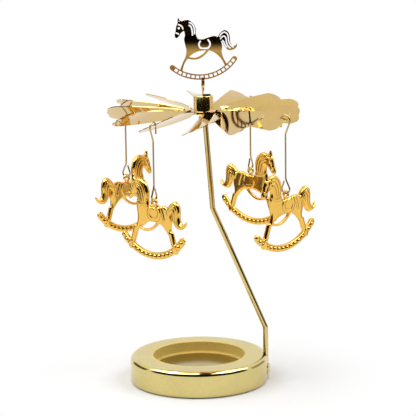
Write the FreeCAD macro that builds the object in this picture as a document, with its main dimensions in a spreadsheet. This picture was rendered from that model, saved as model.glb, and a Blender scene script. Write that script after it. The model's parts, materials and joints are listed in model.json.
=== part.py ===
import FreeCAD, Part
import math
import os
import Sketcher
from FreeCAD import Placement, Rotation, Vector

# Heat-driven carousel tealight holder: a pressed base with a candle well, a bent post that ends
# in a needle, and a bladed rotor that turns on the needle and carries four hanging rocking horses.
# Millimetres and degrees, +Z up, origin at the centre of the base's underside. The post stands
# at +X, and the photograph looks along +Y.

SIZES = {
    # pressed base
    "base_radius": 30.0,
    "base_height": 11.8,
    "base_sheet": 0.6,
    "shoulder_radius": 2.2,
    "hem_width": 3.0,
    "hem_radius": 1.6,
    "well_radius": 20.0,
    "well_depth": 5.0,
    "well_corner": 0.9,
    "well_lip": 0.4,
    # post, foot to needle
    "post_radius": 1.15,
    "post_inset": 0.8,
    "post_bend": 4.0,
    "lower_bend_height": 23.3,
    "knee_offset": 3.5,
    "knee_height": 76.4,
    "needle_length": 5.0,
    "needle_tip": 0.12,
    "notch_clearance": 0.1,
    # strap that holds the post's foot against the base wall
    "strap_sheet": 0.45,
    "strap_clearance": 0.05,
    "strap_height": 3.6,
    "strap_foot": 3.2,
    "strap_width": 8.4,
    # rotor
    "axis_offset": 3.3,
    "rotor_height": 118.6,
    "rotor_sheet": 0.35,
    "disc_radius": 7.0,
    "disc_hole": 2.6,
    "neck_width": 3.0,
    "neck_tab": 0.4,
    "neck_length": 2.3,
    "root_width": 4.2,
    "tip_radius": 41.2,
    "blade_width": 18.4,
    "blade_shoulder": 4.4,
    "lobe_width": 6.2,
    "lobe_rise": 0.9,
    "corner_rise": 1.9,
    "blade_pitch": 23.0,
    "blade_azimuth": 58.75,
    "blade_count": 12,
    # hub and its pivot seat
    "hub_radius": 4.2,
    "hub_sheet": 0.45,
    "hub_height": 7.1,
    "hub_edge": 0.5,
    "hub_flange": 1.2,
    "seat_radius": 2.2,
    "seat_height": 2.4,
    "cone_radius": 1.5,
    "cone_depth": 1.5,
    "point_clearance": 0.08,
    # wire hangers
    "hanger_count": 4,
    "wire_radius": 0.35,
    "wire_bend": 3.0,
    "hook_hole": 0.9,
    "hook_bridge": 2.4,
    "hook_depth": 0.98,
    "hook_clearance": 0.25,
    "hook_tail": 3.0,
    "hook_flare": 22.0,
    "hanger_drop": 31.0,
    "loop_radius": 1.85,
    "loop_flare": 25.0,
    "loop_close": 20.0,
    "loop_tail": 3.0,
    # rocking horses
    "horse_height": 34.0,
    "horse_thickness": 1.8,
    "relief": 0.35,
    "horse_yaw": -13.0,
    "horse_lean": 4.6,
    "eyelet_hole": 1.0,
    "eyelet_wall": 0.75,
    "eyelet_thickness": 1.2,
    "eyelet_rise": 2.1,
    "eyelet_clearance": 0.35,
    # flat horse on top of the hub
    "topper_height": 26.4,
    "topper_sheet": 0.5,
    "stem_width": 1.3,
    "stem_length": 6.6,
    "stem_foot": 3.4,
}
HANGER_PLACES = ["back_right", "back_left", "front_left", "front_right"]

doc = FreeCAD.newDocument("carousel")
sheet = doc.addObject("Spreadsheet::Sheet", "dims")
for row, (name, number) in enumerate(SIZES.items(), start=1):
    sheet.set(f"A{row}", name)
    sheet.set(f"B{row}", str(number))
    sheet.setAlias(f"B{row}", name)
doc.recompute()


class Size:
    """A number together with the sheet expression that gives it."""

    def __init__(self, value, text):
        self.value = float(value)
        self.text = text

    def __add__(self, other):
        other = as_size(other)
        return Size(self.value + other.value, f"({self.text} + {other.text})")

    def __sub__(self, other):
        other = as_size(other)
        return Size(self.value - other.value, f"({self.text} - {other.text})")

    def __mul__(self, other):
        other = as_size(other)
        return Size(self.value * other.value, f"({self.text} * {other.text})")

    def __truediv__(self, other):
        other = as_size(other)
        return Size(self.value / other.value, f"({self.text} / {other.text})")

    def __neg__(self):
        return Size(-self.value, f"(-1 * {self.text})")

    def root(self):
        return Size(math.sqrt(self.value), f"sqrt({self.text})")

    def sine(self):
        return Size(math.sin(math.radians(self.value)), f"sin({self.text})")

    def cosine(self):
        return Size(math.cos(math.radians(self.value)), f"cos({self.text})")


def as_size(number):
    return number if isinstance(number, Size) else Size(number, repr(float(number)))


def size(name):
    return Size(sheet.get(name), f"dims.{name}")


ZERO = as_size(0)


def arc_radius(chord_x, chord_y, rise):
    """Radius of an arc that rises by this much over a chord."""
    return ((chord_x * chord_x + chord_y * chord_y) / 4 + rise * rise) / (rise * 2)


def place_text(x, y, z, rotation="rotation(vector(0; 0; 1); 0)"):
    x, y, z = as_size(x), as_size(y), as_size(z)
    return f"placement(vector({x.text}; {y.text}; {z.text}); {rotation})"


def turn_text(axis, angle):
    return f"rotation(vector{axis}; {as_size(angle).text})"


ABOUT_X = "(1; 0; 0)"
ABOUT_Z = "(0; 0; 1)"

# Sketch helpers: every corner of a sketch is tied to the sheet.


def new_body(label):
    body = doc.addObject("PartDesign::Body", label)
    body.Label = label
    return body


def origin_feature(body, role):
    return next(f for f in body.Origin.OriginFeatures if f.Role == role)


def new_sketch(body, name, plane, offset=None):
    sketch = body.newObject("Sketcher::SketchObject", name)
    sketch.AttachmentSupport = [(origin_feature(body, plane), "")]
    sketch.MapMode = "FlatFace"
    if offset:
        sketch.setExpression("AttachmentOffset", offset)
    return sketch


def tie(sketch, kind, where, number):
    index = sketch.addConstraint(Sketcher.Constraint(kind, *where, number.value))
    sketch.renameConstraint(index, f"size{index}")
    sketch.setExpression(f"Constraints.size{index}", number.text)


def arc_between(start, end, radius, turn):
    """Minor arc from start to end, turn 1 for counter-clockwise and -1 for clockwise."""
    chord = end - start
    normal = Vector(-chord.y, chord.x, 0).normalize() * turn
    centre = start + chord / 2 + normal * math.sqrt(max(radius**2 - chord.Length**2 / 4, 0))
    first, last = (start, end) if turn > 0 else (end, start)
    angles = [math.atan2(p.y - centre.y, p.x - centre.x) for p in (first, last)]
    return Part.ArcOfCircle(Part.Circle(centre, Vector(0, 0, 1), radius), *angles)


def draw(sketch, corners, closed=True):
    """Chain of lines and arcs. A corner is (x, y), or (x, y, radius, turn) before an arc."""
    corners = [(as_size(c[0]), as_size(c[1]), *c[2:]) for c in corners]
    spots = [Vector(c[0].value, c[1].value, 0) for c in corners]
    count = len(corners) if closed else len(corners) - 1
    ends = []
    for i in range(count):
        start, end = spots[i], spots[(i + 1) % len(spots)]
        if len(corners[i]) == 2:
            index = sketch.addGeometry(Part.LineSegment(start, end), False)
            ends.append((index, 1, 2))
            continue
        radius, turn = corners[i][2:]
        index = sketch.addGeometry(arc_between(start, end, radius.value, turn), False)
        ends.append((index, 1, 2) if turn > 0 else (index, 2, 1))
        tie(sketch, "Radius", (index,), radius)
    for i in range(count if closed else count - 1):
        here, after = ends[i], ends[(i + 1) % count]
        joint = Sketcher.Constraint("Coincident", here[0], here[2], after[0], after[1])
        sketch.addConstraint(joint)
    for i, corner in enumerate(corners):
        geometry, point = (ends[i][0], ends[i][1]) if i < count else (ends[-1][0], ends[-1][2])
        tie(sketch, "DistanceX", (geometry, point), corner[0])
        tie(sketch, "DistanceY", (geometry, point), corner[1])


def draw_circle(sketch, radius, x=ZERO, y=ZERO):
    centre = Vector(x.value, y.value, 0)
    index = sketch.addGeometry(Part.Circle(centre, Vector(0, 0, 1), radius.value), False)
    tie(sketch, "Radius", (index,), radius)
    tie(sketch, "DistanceX", (index, 3), x)
    tie(sketch, "DistanceY", (index, 3), y)


def rectangle(width, depth, x=ZERO, y=ZERO):
    left, right = x - width / 2, x + width / 2
    low, high = y - depth / 2, y + depth / 2
    return [(left, low), (right, low), (right, high), (left, high)]


def revolve(body, corners):
    """Turn a half section, drawn as (radius, height), about the body's Z axis."""
    sketch = new_sketch(body, "section", "XZ_Plane")
    draw(sketch, corners)
    turned = body.newObject("PartDesign::Revolution", "turned")
    turned.Profile = sketch
    turned.ReferenceAxis = (sketch, ["V_Axis"])
    turned.Angle = 360
    return turned


def pad(body, sketch, length):
    raised = body.newObject("PartDesign::Pad", "raised")
    raised.Profile = sketch
    raised.SideType = "Symmetric"
    raised.setExpression("Length", length.text)
    return raised


def pipe(body, profile, path):
    swept = body.newObject("PartDesign::AdditivePipe", "swept")
    swept.Profile = profile
    doc.recompute()
    swept.Spine = (path, [f"Edge{i + 1}" for i in range(len(path.Shape.Edges))])
    return swept


def pattern(body, originals, count):
    copies = body.newObject("PartDesign::PolarPattern", "ring")
    copies.Originals = originals
    copies.Axis = (origin_feature(body, "Z_Axis"), [""])
    copies.Angle = 360
    copies.setExpression("Occurrences", count.text)
    body.Tip = copies
    return copies


# Places that several pieces share.
axis_x = size("axis_offset")
post_x = size("base_radius") - size("post_inset")
rotor_top = size("rotor_height") + size("rotor_sheet") / 2
hub_top = rotor_top + size("hub_height")
seat_foot = hub_top - size("hub_sheet") - size("seat_height")
cone_slope = size("cone_depth") / size("cone_radius")
needle_z = (
    seat_foot + size("cone_depth") - size("point_clearance") - size("needle_tip") * cone_slope
)
bridge_half = size("hook_bridge") / 2
hook_x = size("tip_radius") - bridge_half
hook_inside = (bridge_half * bridge_half + size("hook_depth") * size("hook_depth")).root()
hook_radius = hook_inside + size("hook_clearance") + size("wire_radius")
hook_z = rotor_top - size("hook_depth")
blade_root = size("disc_radius") + size("neck_length")


def build_base_shell():
    """Drawn sheet: turned-in hem, wall, rounded shoulder, flat ring and candle well."""
    body = new_body("base_shell")
    outer, top, skin = size("base_radius"), size("base_height"), size("base_sheet")
    shoulder, hem, lip = size("shoulder_radius"), size("hem_radius"), size("well_lip")
    well, corner = size("well_radius"), size("well_corner")
    floor = top - size("well_depth")
    hem_edge = outer - size("hem_width")
    revolve(
        body,
        [
            (hem_edge, ZERO),
            (outer - hem, ZERO, hem, 1),
            (outer, hem),
            (outer, top - shoulder, shoulder, 1),
            (outer - shoulder, top),
            (well + lip, top, lip, 1),
            (well, top - lip),
            (well, floor + corner, corner, -1),
            (well - corner, floor),
            (ZERO, floor),
            (ZERO, floor - skin),
            (well - corner, floor - skin, corner + skin, 1),
            (well + skin, floor + corner),
            (well + skin, top - skin),
            (outer - shoulder, top - skin, shoulder - skin, -1),
            (outer - skin, top - shoulder),
            (outer - skin, hem, hem - skin, -1),
            (outer - hem, skin),
            (hem_edge, skin),
        ],
    )
    # slot in the shoulder and wall where the post stands on the hem
    notch_half = size("post_radius") + size("notch_clearance")
    inner = post_x - notch_half
    outline = new_sketch(body, "notch", "XY_Plane", place_text(0, 0, skin))
    draw(outline, rectangle(notch_half * 4, notch_half * 2, inner + notch_half * 2))
    slot = body.newObject("PartDesign::Pocket", "slot")
    slot.Profile = outline
    slot.Reversed = True
    slot.setExpression("Length", top.text)
    return body


def build_post_socket():
    """Pressed strap: a half sleeve round the post with two wings on the base wall."""
    foot, height = size("strap_foot"), size("strap_height")
    bore = size("post_radius") + size("strap_clearance")

    def cylinder(name, radius, x):
        tool = doc.addObject("Part::Cylinder", name)
        tool.setExpression("Radius", radius.text)
        tool.setExpression("Height", height.text)
        tool.setExpression("Placement", place_text(x, 0, foot))
        return tool

    def combine(kind, name, base, tool):
        result = doc.addObject(f"Part::{kind}", name)
        result.Base = base
        result.Tool = tool
        return result

    width = size("strap_width")
    limits = doc.addObject("Part::Box", "wing_limits")
    limits.setExpression("Length", (size("base_radius") + size("strap_sheet")).text)
    limits.setExpression("Width", width.text)
    limits.setExpression("Height", height.text)
    limits.setExpression("Placement", place_text(0, -(width / 2), foot))
    band = cylinder("wing_band", size("base_radius") + size("strap_sheet"), 0)
    wings = combine("Common", "wings", band, limits)
    sleeve = cylinder("sleeve", bore + size("strap_sheet"), post_x)
    blank = combine("Fuse", "strap_blank", wings, sleeve)
    seated = combine("Cut", "strap_on_wall", blank, cylinder("wall", size("base_radius"), 0))
    socket = combine("Cut", "post_socket", seated, cylinder("post_bore", bore, post_x))
    socket.Label = "post_socket"
    return socket


def unit(start, end):
    dx, dy = end[0] - start[0], end[1] - start[1]
    length = (dx * dx + dy * dy).root()
    return dx / length, dy / length


def rounded(points, radius, turns):
    """Corners of an open path whose inner points are replaced by tangent arcs."""
    corners = [points[0]]
    for before, point, after, turn in zip(points, points[1:], points[2:], turns):
        a, b = unit(before, point), unit(point, after)
        across = a[0] * b[1] - a[1] * b[0]
        along = a[0] * b[0] + a[1] * b[1]
        reach = radius * across * turn / (along + 1)
        corners.append((point[0] - a[0] * reach, point[1] - a[1] * reach, radius, turn))
        corners.append((point[0] + b[0] * reach, point[1] + b[1] * reach))
    return corners + [points[-1]]


def build_post():
    """Round rod with two bends, ground to a needle at its upper end."""
    body = new_body("post")
    foot = (post_x, size("base_sheet"))
    low_bend = (post_x, size("lower_bend_height"))
    knee = (axis_x + size("knee_offset"), size("knee_height"))
    tip = (axis_x, needle_z)
    lean = unit(knee, tip)
    reach = size("needle_length")
    shoulder = (tip[0] - lean[0] * reach, tip[1] - lean[1] * reach)
    path = new_sketch(body, "path", "XZ_Plane")
    draw(path, rounded([foot, low_bend, knee, shoulder], size("post_bend"), [1, -1]), False)
    circle = new_sketch(body, "rod", "XY_Plane", place_text(0, 0, foot[1]))
    draw_circle(circle, size("post_radius"), post_x)
    pipe(body, circle, path)
    tilt = f"rotation(vector{ABOUT_Z}; atan2(-1 * {lean[0].text}; {lean[1].text}))"
    cone = new_sketch(body, "needle", "XZ_Plane", place_text(tip[0], tip[1], 0, tilt))
    flat = size("needle_tip")
    draw(cone, [(ZERO, -reach), (size("post_radius"), -reach), (flat, ZERO), (ZERO, ZERO)])
    needle = body.newObject("PartDesign::Revolution", "needle_point")
    needle.Profile = cone
    needle.ReferenceAxis = (cone, ["V_Axis"])
    needle.Angle = 360
    return body


def build_rotor():
    """Flat disc cut into twelve petals, each twisted at its neck and scalloped at its end."""
    body = new_body("rotor")
    skin, pitch = size("rotor_sheet"), size("blade_pitch")
    disc = new_sketch(body, "disc", "XY_Plane")
    draw_circle(disc, size("disc_radius"))
    draw_circle(disc, size("disc_hole"))
    pad(body, disc, skin)

    tab_end = size("disc_radius") + size("neck_tab")
    tab_outline = new_sketch(body, "tab_outline", "XY_Plane")
    tab_start = size("disc_radius") - size("neck_width")
    tab_middle = (tab_start + tab_end) / 2
    draw(tab_outline, rectangle(tab_end - tab_start, size("neck_width"), tab_middle))
    tab = pad(body, tab_outline, skin)
    inner = new_sketch(body, "neck_inner", "YZ_Plane", place_text(0, 0, tab_end))
    draw(inner, rectangle(size("neck_width"), skin))
    twist = turn_text(ABOUT_Z, pitch)
    outer = new_sketch(body, "neck_outer", "YZ_Plane", place_text(0, 0, blade_root, twist))
    draw(outer, rectangle(size("root_width"), skin))
    neck = body.newObject("PartDesign::AdditiveLoft", "neck")
    neck.Profile = inner
    neck.Sections = [outer]
    neck.Ruled = True

    tilt = place_text(0, 0, 0, turn_text(ABOUT_X, pitch))
    root, wide = size("root_width") / 2, size("blade_width") / 2
    tip, rise = size("tip_radius"), size("lobe_rise")
    side = tip - size("blade_shoulder")
    valley, lobe = tip - rise, size("lobe_width") / 2
    middle = arc_radius(size("lobe_width"), ZERO, rise)
    corner = arc_radius(valley - side, wide - lobe, size("corner_rise"))
    petal = new_sketch(body, "petal", "XY_Plane", tilt)
    draw(
        petal,
        [
            (blade_root, -root),
            (side, -wide, corner, 1),
            (valley, -lobe, middle, 1),
            (valley, lobe, corner, 1),
            (side, wide),
            (blade_root, root),
        ],
    )
    blade = pad(body, petal, skin)
    pattern(body, [tab, neck, blade], size("blade_count"))

    hole = new_sketch(body, "hook_hole", "XY_Plane", tilt)
    draw_circle(hole, size("hook_hole"), tip - size("hook_bridge") - size("hook_hole"))
    drilled = body.newObject("PartDesign::Pocket", "drilled")
    drilled.Profile = hole
    drilled.SideType = "Symmetric"
    drilled.setExpression("Length", size("hook_hole").text)
    pattern(body, [drilled], size("hanger_count"))
    turned = turn_text(ABOUT_Z, size("blade_azimuth"))
    body.setExpression("Placement", place_text(axis_x, 0, size("rotor_height"), turned))
    return body


def build_hub_cap():
    """Drawn cap with a flange that sits on the rotor's disc."""
    body = new_body("hub_cap")
    outer, skin, edge = size("hub_radius"), size("hub_sheet"), size("hub_edge")
    top, brim = size("hub_height"), size("hub_radius") + size("hub_flange")
    revolve(
        body,
        [
            (outer - skin, ZERO),
            (brim, ZERO),
            (brim, skin),
            (outer, skin),
            (outer, top - edge, edge, 1),
            (outer - edge, top),
            (ZERO, top),
            (ZERO, top - skin),
            (outer - skin, top - skin),
        ],
    )
    body.setExpression("Placement", place_text(axis_x, 0, rotor_top))
    return body


def build_pivot_seat():
    """Small bearing under the cap's top with a cone that rides on the needle."""
    body = new_body("pivot_seat")
    height = size("seat_height")
    revolve(
        body,
        [
            (size("cone_radius"), ZERO),
            (size("seat_radius"), ZERO),
            (size("seat_radius"), height),
            (ZERO, height),
            (ZERO, size("cone_depth")),
        ],
    )
    body.setExpression("Placement", place_text(axis_x, 0, seat_foot))
    return body


def build_hanger(place, turn):
    """Wire with a hook over the blade's end and a teardrop loop for the horse's eyelet."""
    body = new_body(f"hanger_{place}")
    bend, flare = size("wire_bend"), size("hook_flare")
    drop, ring = size("hanger_drop"), size("loop_radius")
    open_angle, close_angle = size("loop_flare"), size("loop_close")

    hook_end = (hook_radius * flare.cosine(), -(hook_radius * flare.sine()))
    slope = flare.cosine() / flare.sine()
    upper = (ZERO, hook_end[1] - hook_end[0] * slope)
    centre = ring - drop
    loop_start = (ring * open_angle.cosine(), centre + ring * open_angle.sine())
    loop_slope = open_angle.cosine() / open_angle.sine()
    lower = (ZERO, loop_start[1] + loop_start[0] * loop_slope)
    loop_end = (-(ring * close_angle.cosine()), centre + ring * close_angle.sine())
    tail = size("loop_tail")
    tail_end = (loop_end[0] + close_angle.sine() * tail, loop_end[1] + close_angle.cosine() * tail)

    stem = rounded([hook_end, upper, lower, loop_start], bend, [1, 1])
    path = new_sketch(body, "path", "XZ_Plane")
    draw(
        path,
        [
            (-hook_radius, -size("hook_tail")),
            (-hook_radius, ZERO, hook_radius, -1),
            (ZERO, hook_radius, hook_radius, -1),
            *stem[:-1],
            (*loop_start, ring, -1),
            (ZERO, -drop, ring, -1),
            loop_end,
            tail_end,
        ],
        False,
    )
    wire = new_sketch(body, "wire", "XY_Plane", place_text(0, 0, -size("hook_tail")))
    draw_circle(wire, size("wire_radius"), -hook_radius)
    pipe(body, wire, path)
    angle = size("blade_azimuth") + turn
    where = place_text(axis_x + hook_x * angle.cosine(), hook_x * angle.sine(), hook_z,
                       turn_text(ABOUT_Z, angle))
    body.setExpression("Placement", where)
    return body


# Rocking-horse figure, in hundredths of its height. Across is from the saddle, with the head at
# minus, and up is from the lowest point of the rocker. Each list is one smooth stretch.
HORSE_BODY = [
    [(-41, 67.6), (-38, 70.4), (-34.5, 75.5), (-29.5, 79.3)],
    [(-29.5, 79.3), (-28, 73), (-29.4, 66), (-28, 58), (-26, 48), (-27.5, 38), (-32, 28), (-38, 11)],
    [(-38, 11), (-33, 8)],
    [(-33, 8), (-31.5, 20), (-26, 32), (-15, 42.5), (0, 47.2), (14, 46.3), (24, 40), (37, 17)],
    [(37, 17), (43, 21)],
    [(43, 21), (35, 32), (31, 44), (31.6, 56), (27, 68)],
    [(27, 68), (18, 70.6), (9, 68.4), (0, 65.6), (-6.5, 66.2), (-9.8, 72), (-10.5, 83), (-14.5, 91.5),
     (-22, 96.6), (-32.4, 95)],
    [(-32.4, 95), (-36, 96.5)],
    [(-36, 96.5), (-38, 100), (-39.4, 92)],
    [(-39.4, 92), (-41.8, 86.5), (-42.8, 79.5), (-44.3, 73), (-43.6, 69), (-41, 67.6)],
]
HORSE_TAIL = [
    [(24, 64), (28.7, 75.5), (35.5, 80), (41.5, 77), (44.2, 69), (45, 60), (49, 54.2), (55.9, 58.6)],
    [(55.9, 58.6), (54.5, 52.5), (49.5, 48.2), (42, 47.4), (36, 53), (31, 62), (24, 64)],
]
HORSE_GIRTH = [
    [(-27, 35), (-17.5, 33), (-10, 33), (-2.5, 35.6), (4, 40.4), (10.5, 48)],
    [(10.5, 48), (6, 48)],
    [(6, 48), (1, 42.4), (-5, 38.4), (-11, 36.2), (-18, 36.2), (-24, 38.5)],
    [(-24, 38.5), (-27, 35)],
]
HORSE_SADDLE = [
    [(-4.5, 65), (-6.2, 56), (-3, 51.5), (3, 50.8), (9.5, 51.8), (12.5, 57), (9.5, 67.5)],
    [(9.5, 67.5), (2, 65.2), (-4.5, 65)],
]
HORSE_MANE = [
    [(-30, 94.5), (-21, 95), (-14.5, 89.5), (-12, 82), (-11.5, 71)],
    [(-11.5, 71), (-17, 76), (-20, 84), (-30, 94.5)],
]
# Legs of the moulded horse, which are stouter than the flat one's: width and centre line.
HORSE_LEGS = [
    (7.2, [(-28.8, 34), (-32.2, 22), (-36, 9)]),
    (7.4, [(31.8, 38), (36, 28), (40.8, 18.5)]),
]
ROCKER_RADIUS = 73.0
ROCKER_CENTRE = (-5.0, ROCKER_RADIUS)
ROCKER_BAND = 8.8
ROCKER_SPAN = (-40.0, 55.0)
ROCKER_SCROLL = 4.2
RUNG_COUNT = 15
RUNG_SPAN = (-33.5, 52.0)
RUNG_WIDTH = 5.2
RUNG_DEPTH = 4.4
SADDLE_TOP = (0.0, 65.6)

# Cut-outs of the flat horse: each slot's width and centre line, and each hole's radius and centre.
FACE_SLOTS = [
    (2.1, [(-38.2, 89.4), (-34.8, 88.4), (-32, 85.4), (-31, 82.6)]),
    (2.1, [(-42, 76.3), (-38, 74.5)]),
]
MANE_SLOTS = [
    (2.2, [(-20.6, 92.6), (-16.9, 90.9), (-14, 87), (-12.6, 81.2), (-12.4, 75)]),
    (2.3, [(-20.9, 88.2), (-18.2, 86.2), (-16.6, 81.2), (-15.9, 76.5), (-15.8, 72.8)]),
]
SADDLE_SLOTS = [
    (2.6, [(-3.5, 62.2), (-5.6, 57), (-3.4, 52), (2.8, 50.8), (9.4, 51.9), (12.2, 57), (9.1, 64.4)]),
]
TAIL_SLOTS = [
    (2.0, [(28, 70), (31.2, 74.6), (35.7, 76.6), (39.8, 74), (41.6, 68.6), (42.2, 62), (45, 56), (49.6, 52.4)]),
    (2.0, [(29.4, 66), (32.2, 69.4), (35.3, 70.2), (37.6, 67), (38.6, 60.6), (40.6, 55), (44.4, 51)]),
    (2.0, [(32.6, 63.2), (34.6, 60.2), (36.2, 56), (39, 52.4)]),
]
FACE_HOLES = [(1.8, (-37.6, 83.8)), (0.8, (-37, 95))]
SLOT_STEPS = 24
STEM_SECTIONS = 5


def figure_face(stretches, grid):
    edges = []
    for stretch in stretches:
        points = [Vector(across * grid, 0, up * grid) for across, up in stretch]
        if len(points) == 2:
            edges.append(Part.LineSegment(*points).toShape())
            continue
        curve = Part.BSplineCurve()
        curve.interpolate(points)
        edges.append(curve.toShape())
    return Part.Face(Part.Wire(edges))


def slab(face, thickness):
    """Extrude a face in the XZ plane by half the thickness to each side."""
    face.translate(Vector(0, -thickness / 2, 0))
    return face.extrude(Vector(0, thickness, 0))


def slot_face(centre, width, grid):
    """Strip of even width along a smooth centre line."""
    line = Part.BSplineCurve()
    line.interpolate([Vector(across * grid, 0, up * grid) for across, up in centre])
    span = line.LastParameter - line.FirstParameter
    sides = []
    for hand in (-1, 1):
        points = []
        for i in range(SLOT_STEPS + 1):
            at = line.FirstParameter + span * i / SLOT_STEPS
            along = line.tangent(at)[0]
            points.append(line.value(at) + Vector(-along.z, 0, along.x) * (hand * width * grid / 2))
        side = Part.BSplineCurve()
        side.interpolate(points)
        sides.append(side)
    left, right = sides
    edges = [
        left.toShape(),
        Part.makeLine(left.EndPoint, right.EndPoint),
        right.toShape(),
        Part.makeLine(right.StartPoint, left.StartPoint),
    ]
    return Part.Face(Part.Wire(Part.__sortEdges__(edges)))


def disc(radius, thickness, x, z):
    return Part.makeCylinder(radius, thickness, Vector(x, -thickness / 2, z), Vector(0, 1, 0))


def rocker_point(angle, radius, grid):
    turn = math.radians(angle)
    across = ROCKER_CENTRE[0] + radius * math.sin(turn)
    return Vector(across * grid, 0, (ROCKER_CENTRE[1] - radius * math.cos(turn)) * grid)


def rocker(grid, thickness):
    """Curved runner with a rounded end behind and a scroll in front."""
    low, high = ROCKER_SPAN
    middle = (low + high) / 2
    inner = ROCKER_RADIUS - ROCKER_BAND
    below = [rocker_point(angle, ROCKER_RADIUS, grid) for angle in (low, middle, high)]
    above = [rocker_point(angle, inner, grid) for angle in (high, middle, low)]
    outline = [
        Part.Arc(*below).toShape(),
        Part.makeLine(below[-1], above[0]),
        Part.Arc(*above).toShape(),
        Part.makeLine(above[-1], below[0]),
    ]
    band = slab(Part.Face(Part.Wire(outline)), thickness)
    back = rocker_point(high, ROCKER_RADIUS - ROCKER_BAND / 2, grid)
    front = rocker_point(low, ROCKER_RADIUS - ROCKER_BAND / 2, grid)
    heel = disc(ROCKER_BAND / 2 * grid, thickness, back.x, back.z)
    scroll = disc(ROCKER_SCROLL * grid, thickness, front.x, front.z)
    return [band, heel, scroll]


def rungs(grid, thickness):
    """Evenly spaced blocks along the runner: beads on a horse, windows in the topper."""
    step = (RUNG_SPAN[1] - RUNG_SPAN[0]) / (RUNG_COUNT - 1)
    blocks = []
    for i in range(RUNG_COUNT):
        angle = RUNG_SPAN[0] + i * step
        spot = rocker_point(angle, ROCKER_RADIUS - ROCKER_BAND / 2, grid)
        wide, deep = RUNG_WIDTH * grid, RUNG_DEPTH * grid
        block = Part.makeBox(wide, thickness, deep, Vector(-wide / 2, -thickness / 2, -deep / 2))
        block.Placement = Placement(spot, Rotation(Vector(0, 1, 0), -angle))
        blocks.append(block)
    return blocks


def fuse_all(shapes):
    return shapes[0].fuse(shapes[1:]).removeSplitter()


def only_solid(shape):
    solids = shape.Solids
    if len(solids) != 1:
        raise RuntimeError(f"expected one solid, got {len(solids)}")
    return solids[0]


def horse_shape():
    """Moulded horse with the eyelet on its saddle, and the point in it where the wire runs."""
    grid = sheet.get("horse_height") / 100
    plate = sheet.get("horse_thickness")
    raised = plate + 2 * sheet.get("relief")
    hole = sheet.get("eyelet_hole")
    slack = hole - sheet.get("wire_radius") - sheet.get("eyelet_clearance")
    flat = [slab(figure_face(part, grid), plate) for part in (HORSE_BODY, HORSE_GIRTH)]
    flat += [slab(slot_face(centre, wide, grid), plate) for wide, centre in HORSE_LEGS]
    proud = [
        slab(figure_face(part, grid), raised) for part in (HORSE_TAIL, HORSE_SADDLE, HORSE_MANE)
    ]
    saddle_x, saddle_z = SADDLE_TOP[0] * grid, SADDLE_TOP[1] * grid
    eye_z = saddle_z + sheet.get("eyelet_rise")
    thick = sheet.get("eyelet_thickness")
    outside = hole + sheet.get("eyelet_wall")
    lug = Part.makeBox(outside, thick, eye_z - saddle_z + plate)
    lug.translate(Vector(saddle_x - outside / 2, -thick / 2, saddle_z - plate))
    ring = disc(outside, thick, saddle_x, eye_z)
    shape = fuse_all(flat + proud + rocker(grid, plate) + rungs(grid, raised) + [lug, ring])
    shape = shape.cut(disc(hole, raised, saddle_x, eye_z))
    return only_solid(shape), Vector(saddle_x, 0, eye_z + slack)


def build_horse(place, turn):
    angle = sheet.get("blade_azimuth") + turn
    reach = hook_x.value
    spot = Vector(
        axis_x.value + reach * math.cos(math.radians(angle)),
        reach * math.sin(math.radians(angle)),
        hook_z.value - sheet.get("hanger_drop"),
    )
    turned = Rotation(Vector(0, 0, 1), angle + 90 + sheet.get("horse_yaw"))
    # the eyelet sits ahead of the balance point, so the tail hangs low
    turned = turned * Rotation(Vector(0, 1, 0), sheet.get("horse_lean"))
    horse = doc.addObject("Part::Feature", f"horse_{place}")
    horse.Label = f"horse_{place}"
    horse.Shape, wire_point = horse_shape()
    horse.Placement = Placement(spot, turned) * Placement(-wire_point, Rotation())
    return horse


def stem_sections(width, thickness, length, count):
    """Rectangles that turn by a quarter from the figure down to the foot."""
    sections = []
    for i in range(count):
        share = i / (count - 1)
        outline = Part.makePolygon(
            [Vector(x * width / 2, y * thickness / 2, 0) for x, y in
             ((-1, -1), (1, -1), (1, 1), (-1, 1), (-1, -1))]
        )
        outline.rotate(Vector(0, 0, 0), Vector(0, 0, 1), 90 * share)
        outline.translate(Vector(0, 0, -length * share))
        sections.append(outline)
    return sections


def build_topper():
    """Flat cut-out horse on a twisted strip whose foot lies on the hub."""
    grid = sheet.get("topper_height") / 100
    skin = sheet.get("topper_sheet")
    width, length = sheet.get("stem_width"), sheet.get("stem_length")
    foot = sheet.get("stem_foot")
    parts = [slab(figure_face(part, grid), skin) for part in (HORSE_BODY, HORSE_TAIL, HORSE_GIRTH)]
    figure = fuse_all(parts + rocker(grid, skin))
    slots = FACE_SLOTS + MANE_SLOTS + SADDLE_SLOTS + TAIL_SLOTS
    windows = [slab(slot_face(centre, wide, grid), 2 * skin) for wide, centre in slots]
    windows += [disc(r * grid, 2 * skin, x * grid, z * grid) for r, (x, z) in FACE_HOLES]
    figure = figure.cut(rungs(grid, 2 * skin) + windows)
    band = ROCKER_BAND * grid
    figure.translate(Vector(0, 0, length))
    stem = Part.makeLoft(stem_sections(width, skin, length - skin, STEM_SECTIONS), True, True)
    stem.translate(Vector(0, 0, length))
    root = Part.makeBox(width, skin, band / 2, Vector(-width / 2, -skin / 2, length))
    base = Part.makeBox(foot, width, skin, Vector(-skin / 2, -width / 2, 0))
    topper = doc.addObject("Part::Feature", "topper")
    topper.Label = "topper"
    topper.Shape = only_solid(fuse_all([figure, root, stem, base]))
    topper.Placement = Placement(Vector(axis_x.value, 0, hub_top.value), Rotation())
    return topper


pieces = [
    build_base_shell(),
    build_post_socket(),
    build_post(),
    build_rotor(),
    build_hub_cap(),
    build_pivot_seat(),
    build_topper(),
]
quarter = 360 / size("hanger_count").value
for k, place in enumerate(HANGER_PLACES):
    pieces.append(build_hanger(place, k * quarter))
    pieces.append(build_horse(place, k * quarter))
doc.recompute()

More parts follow.
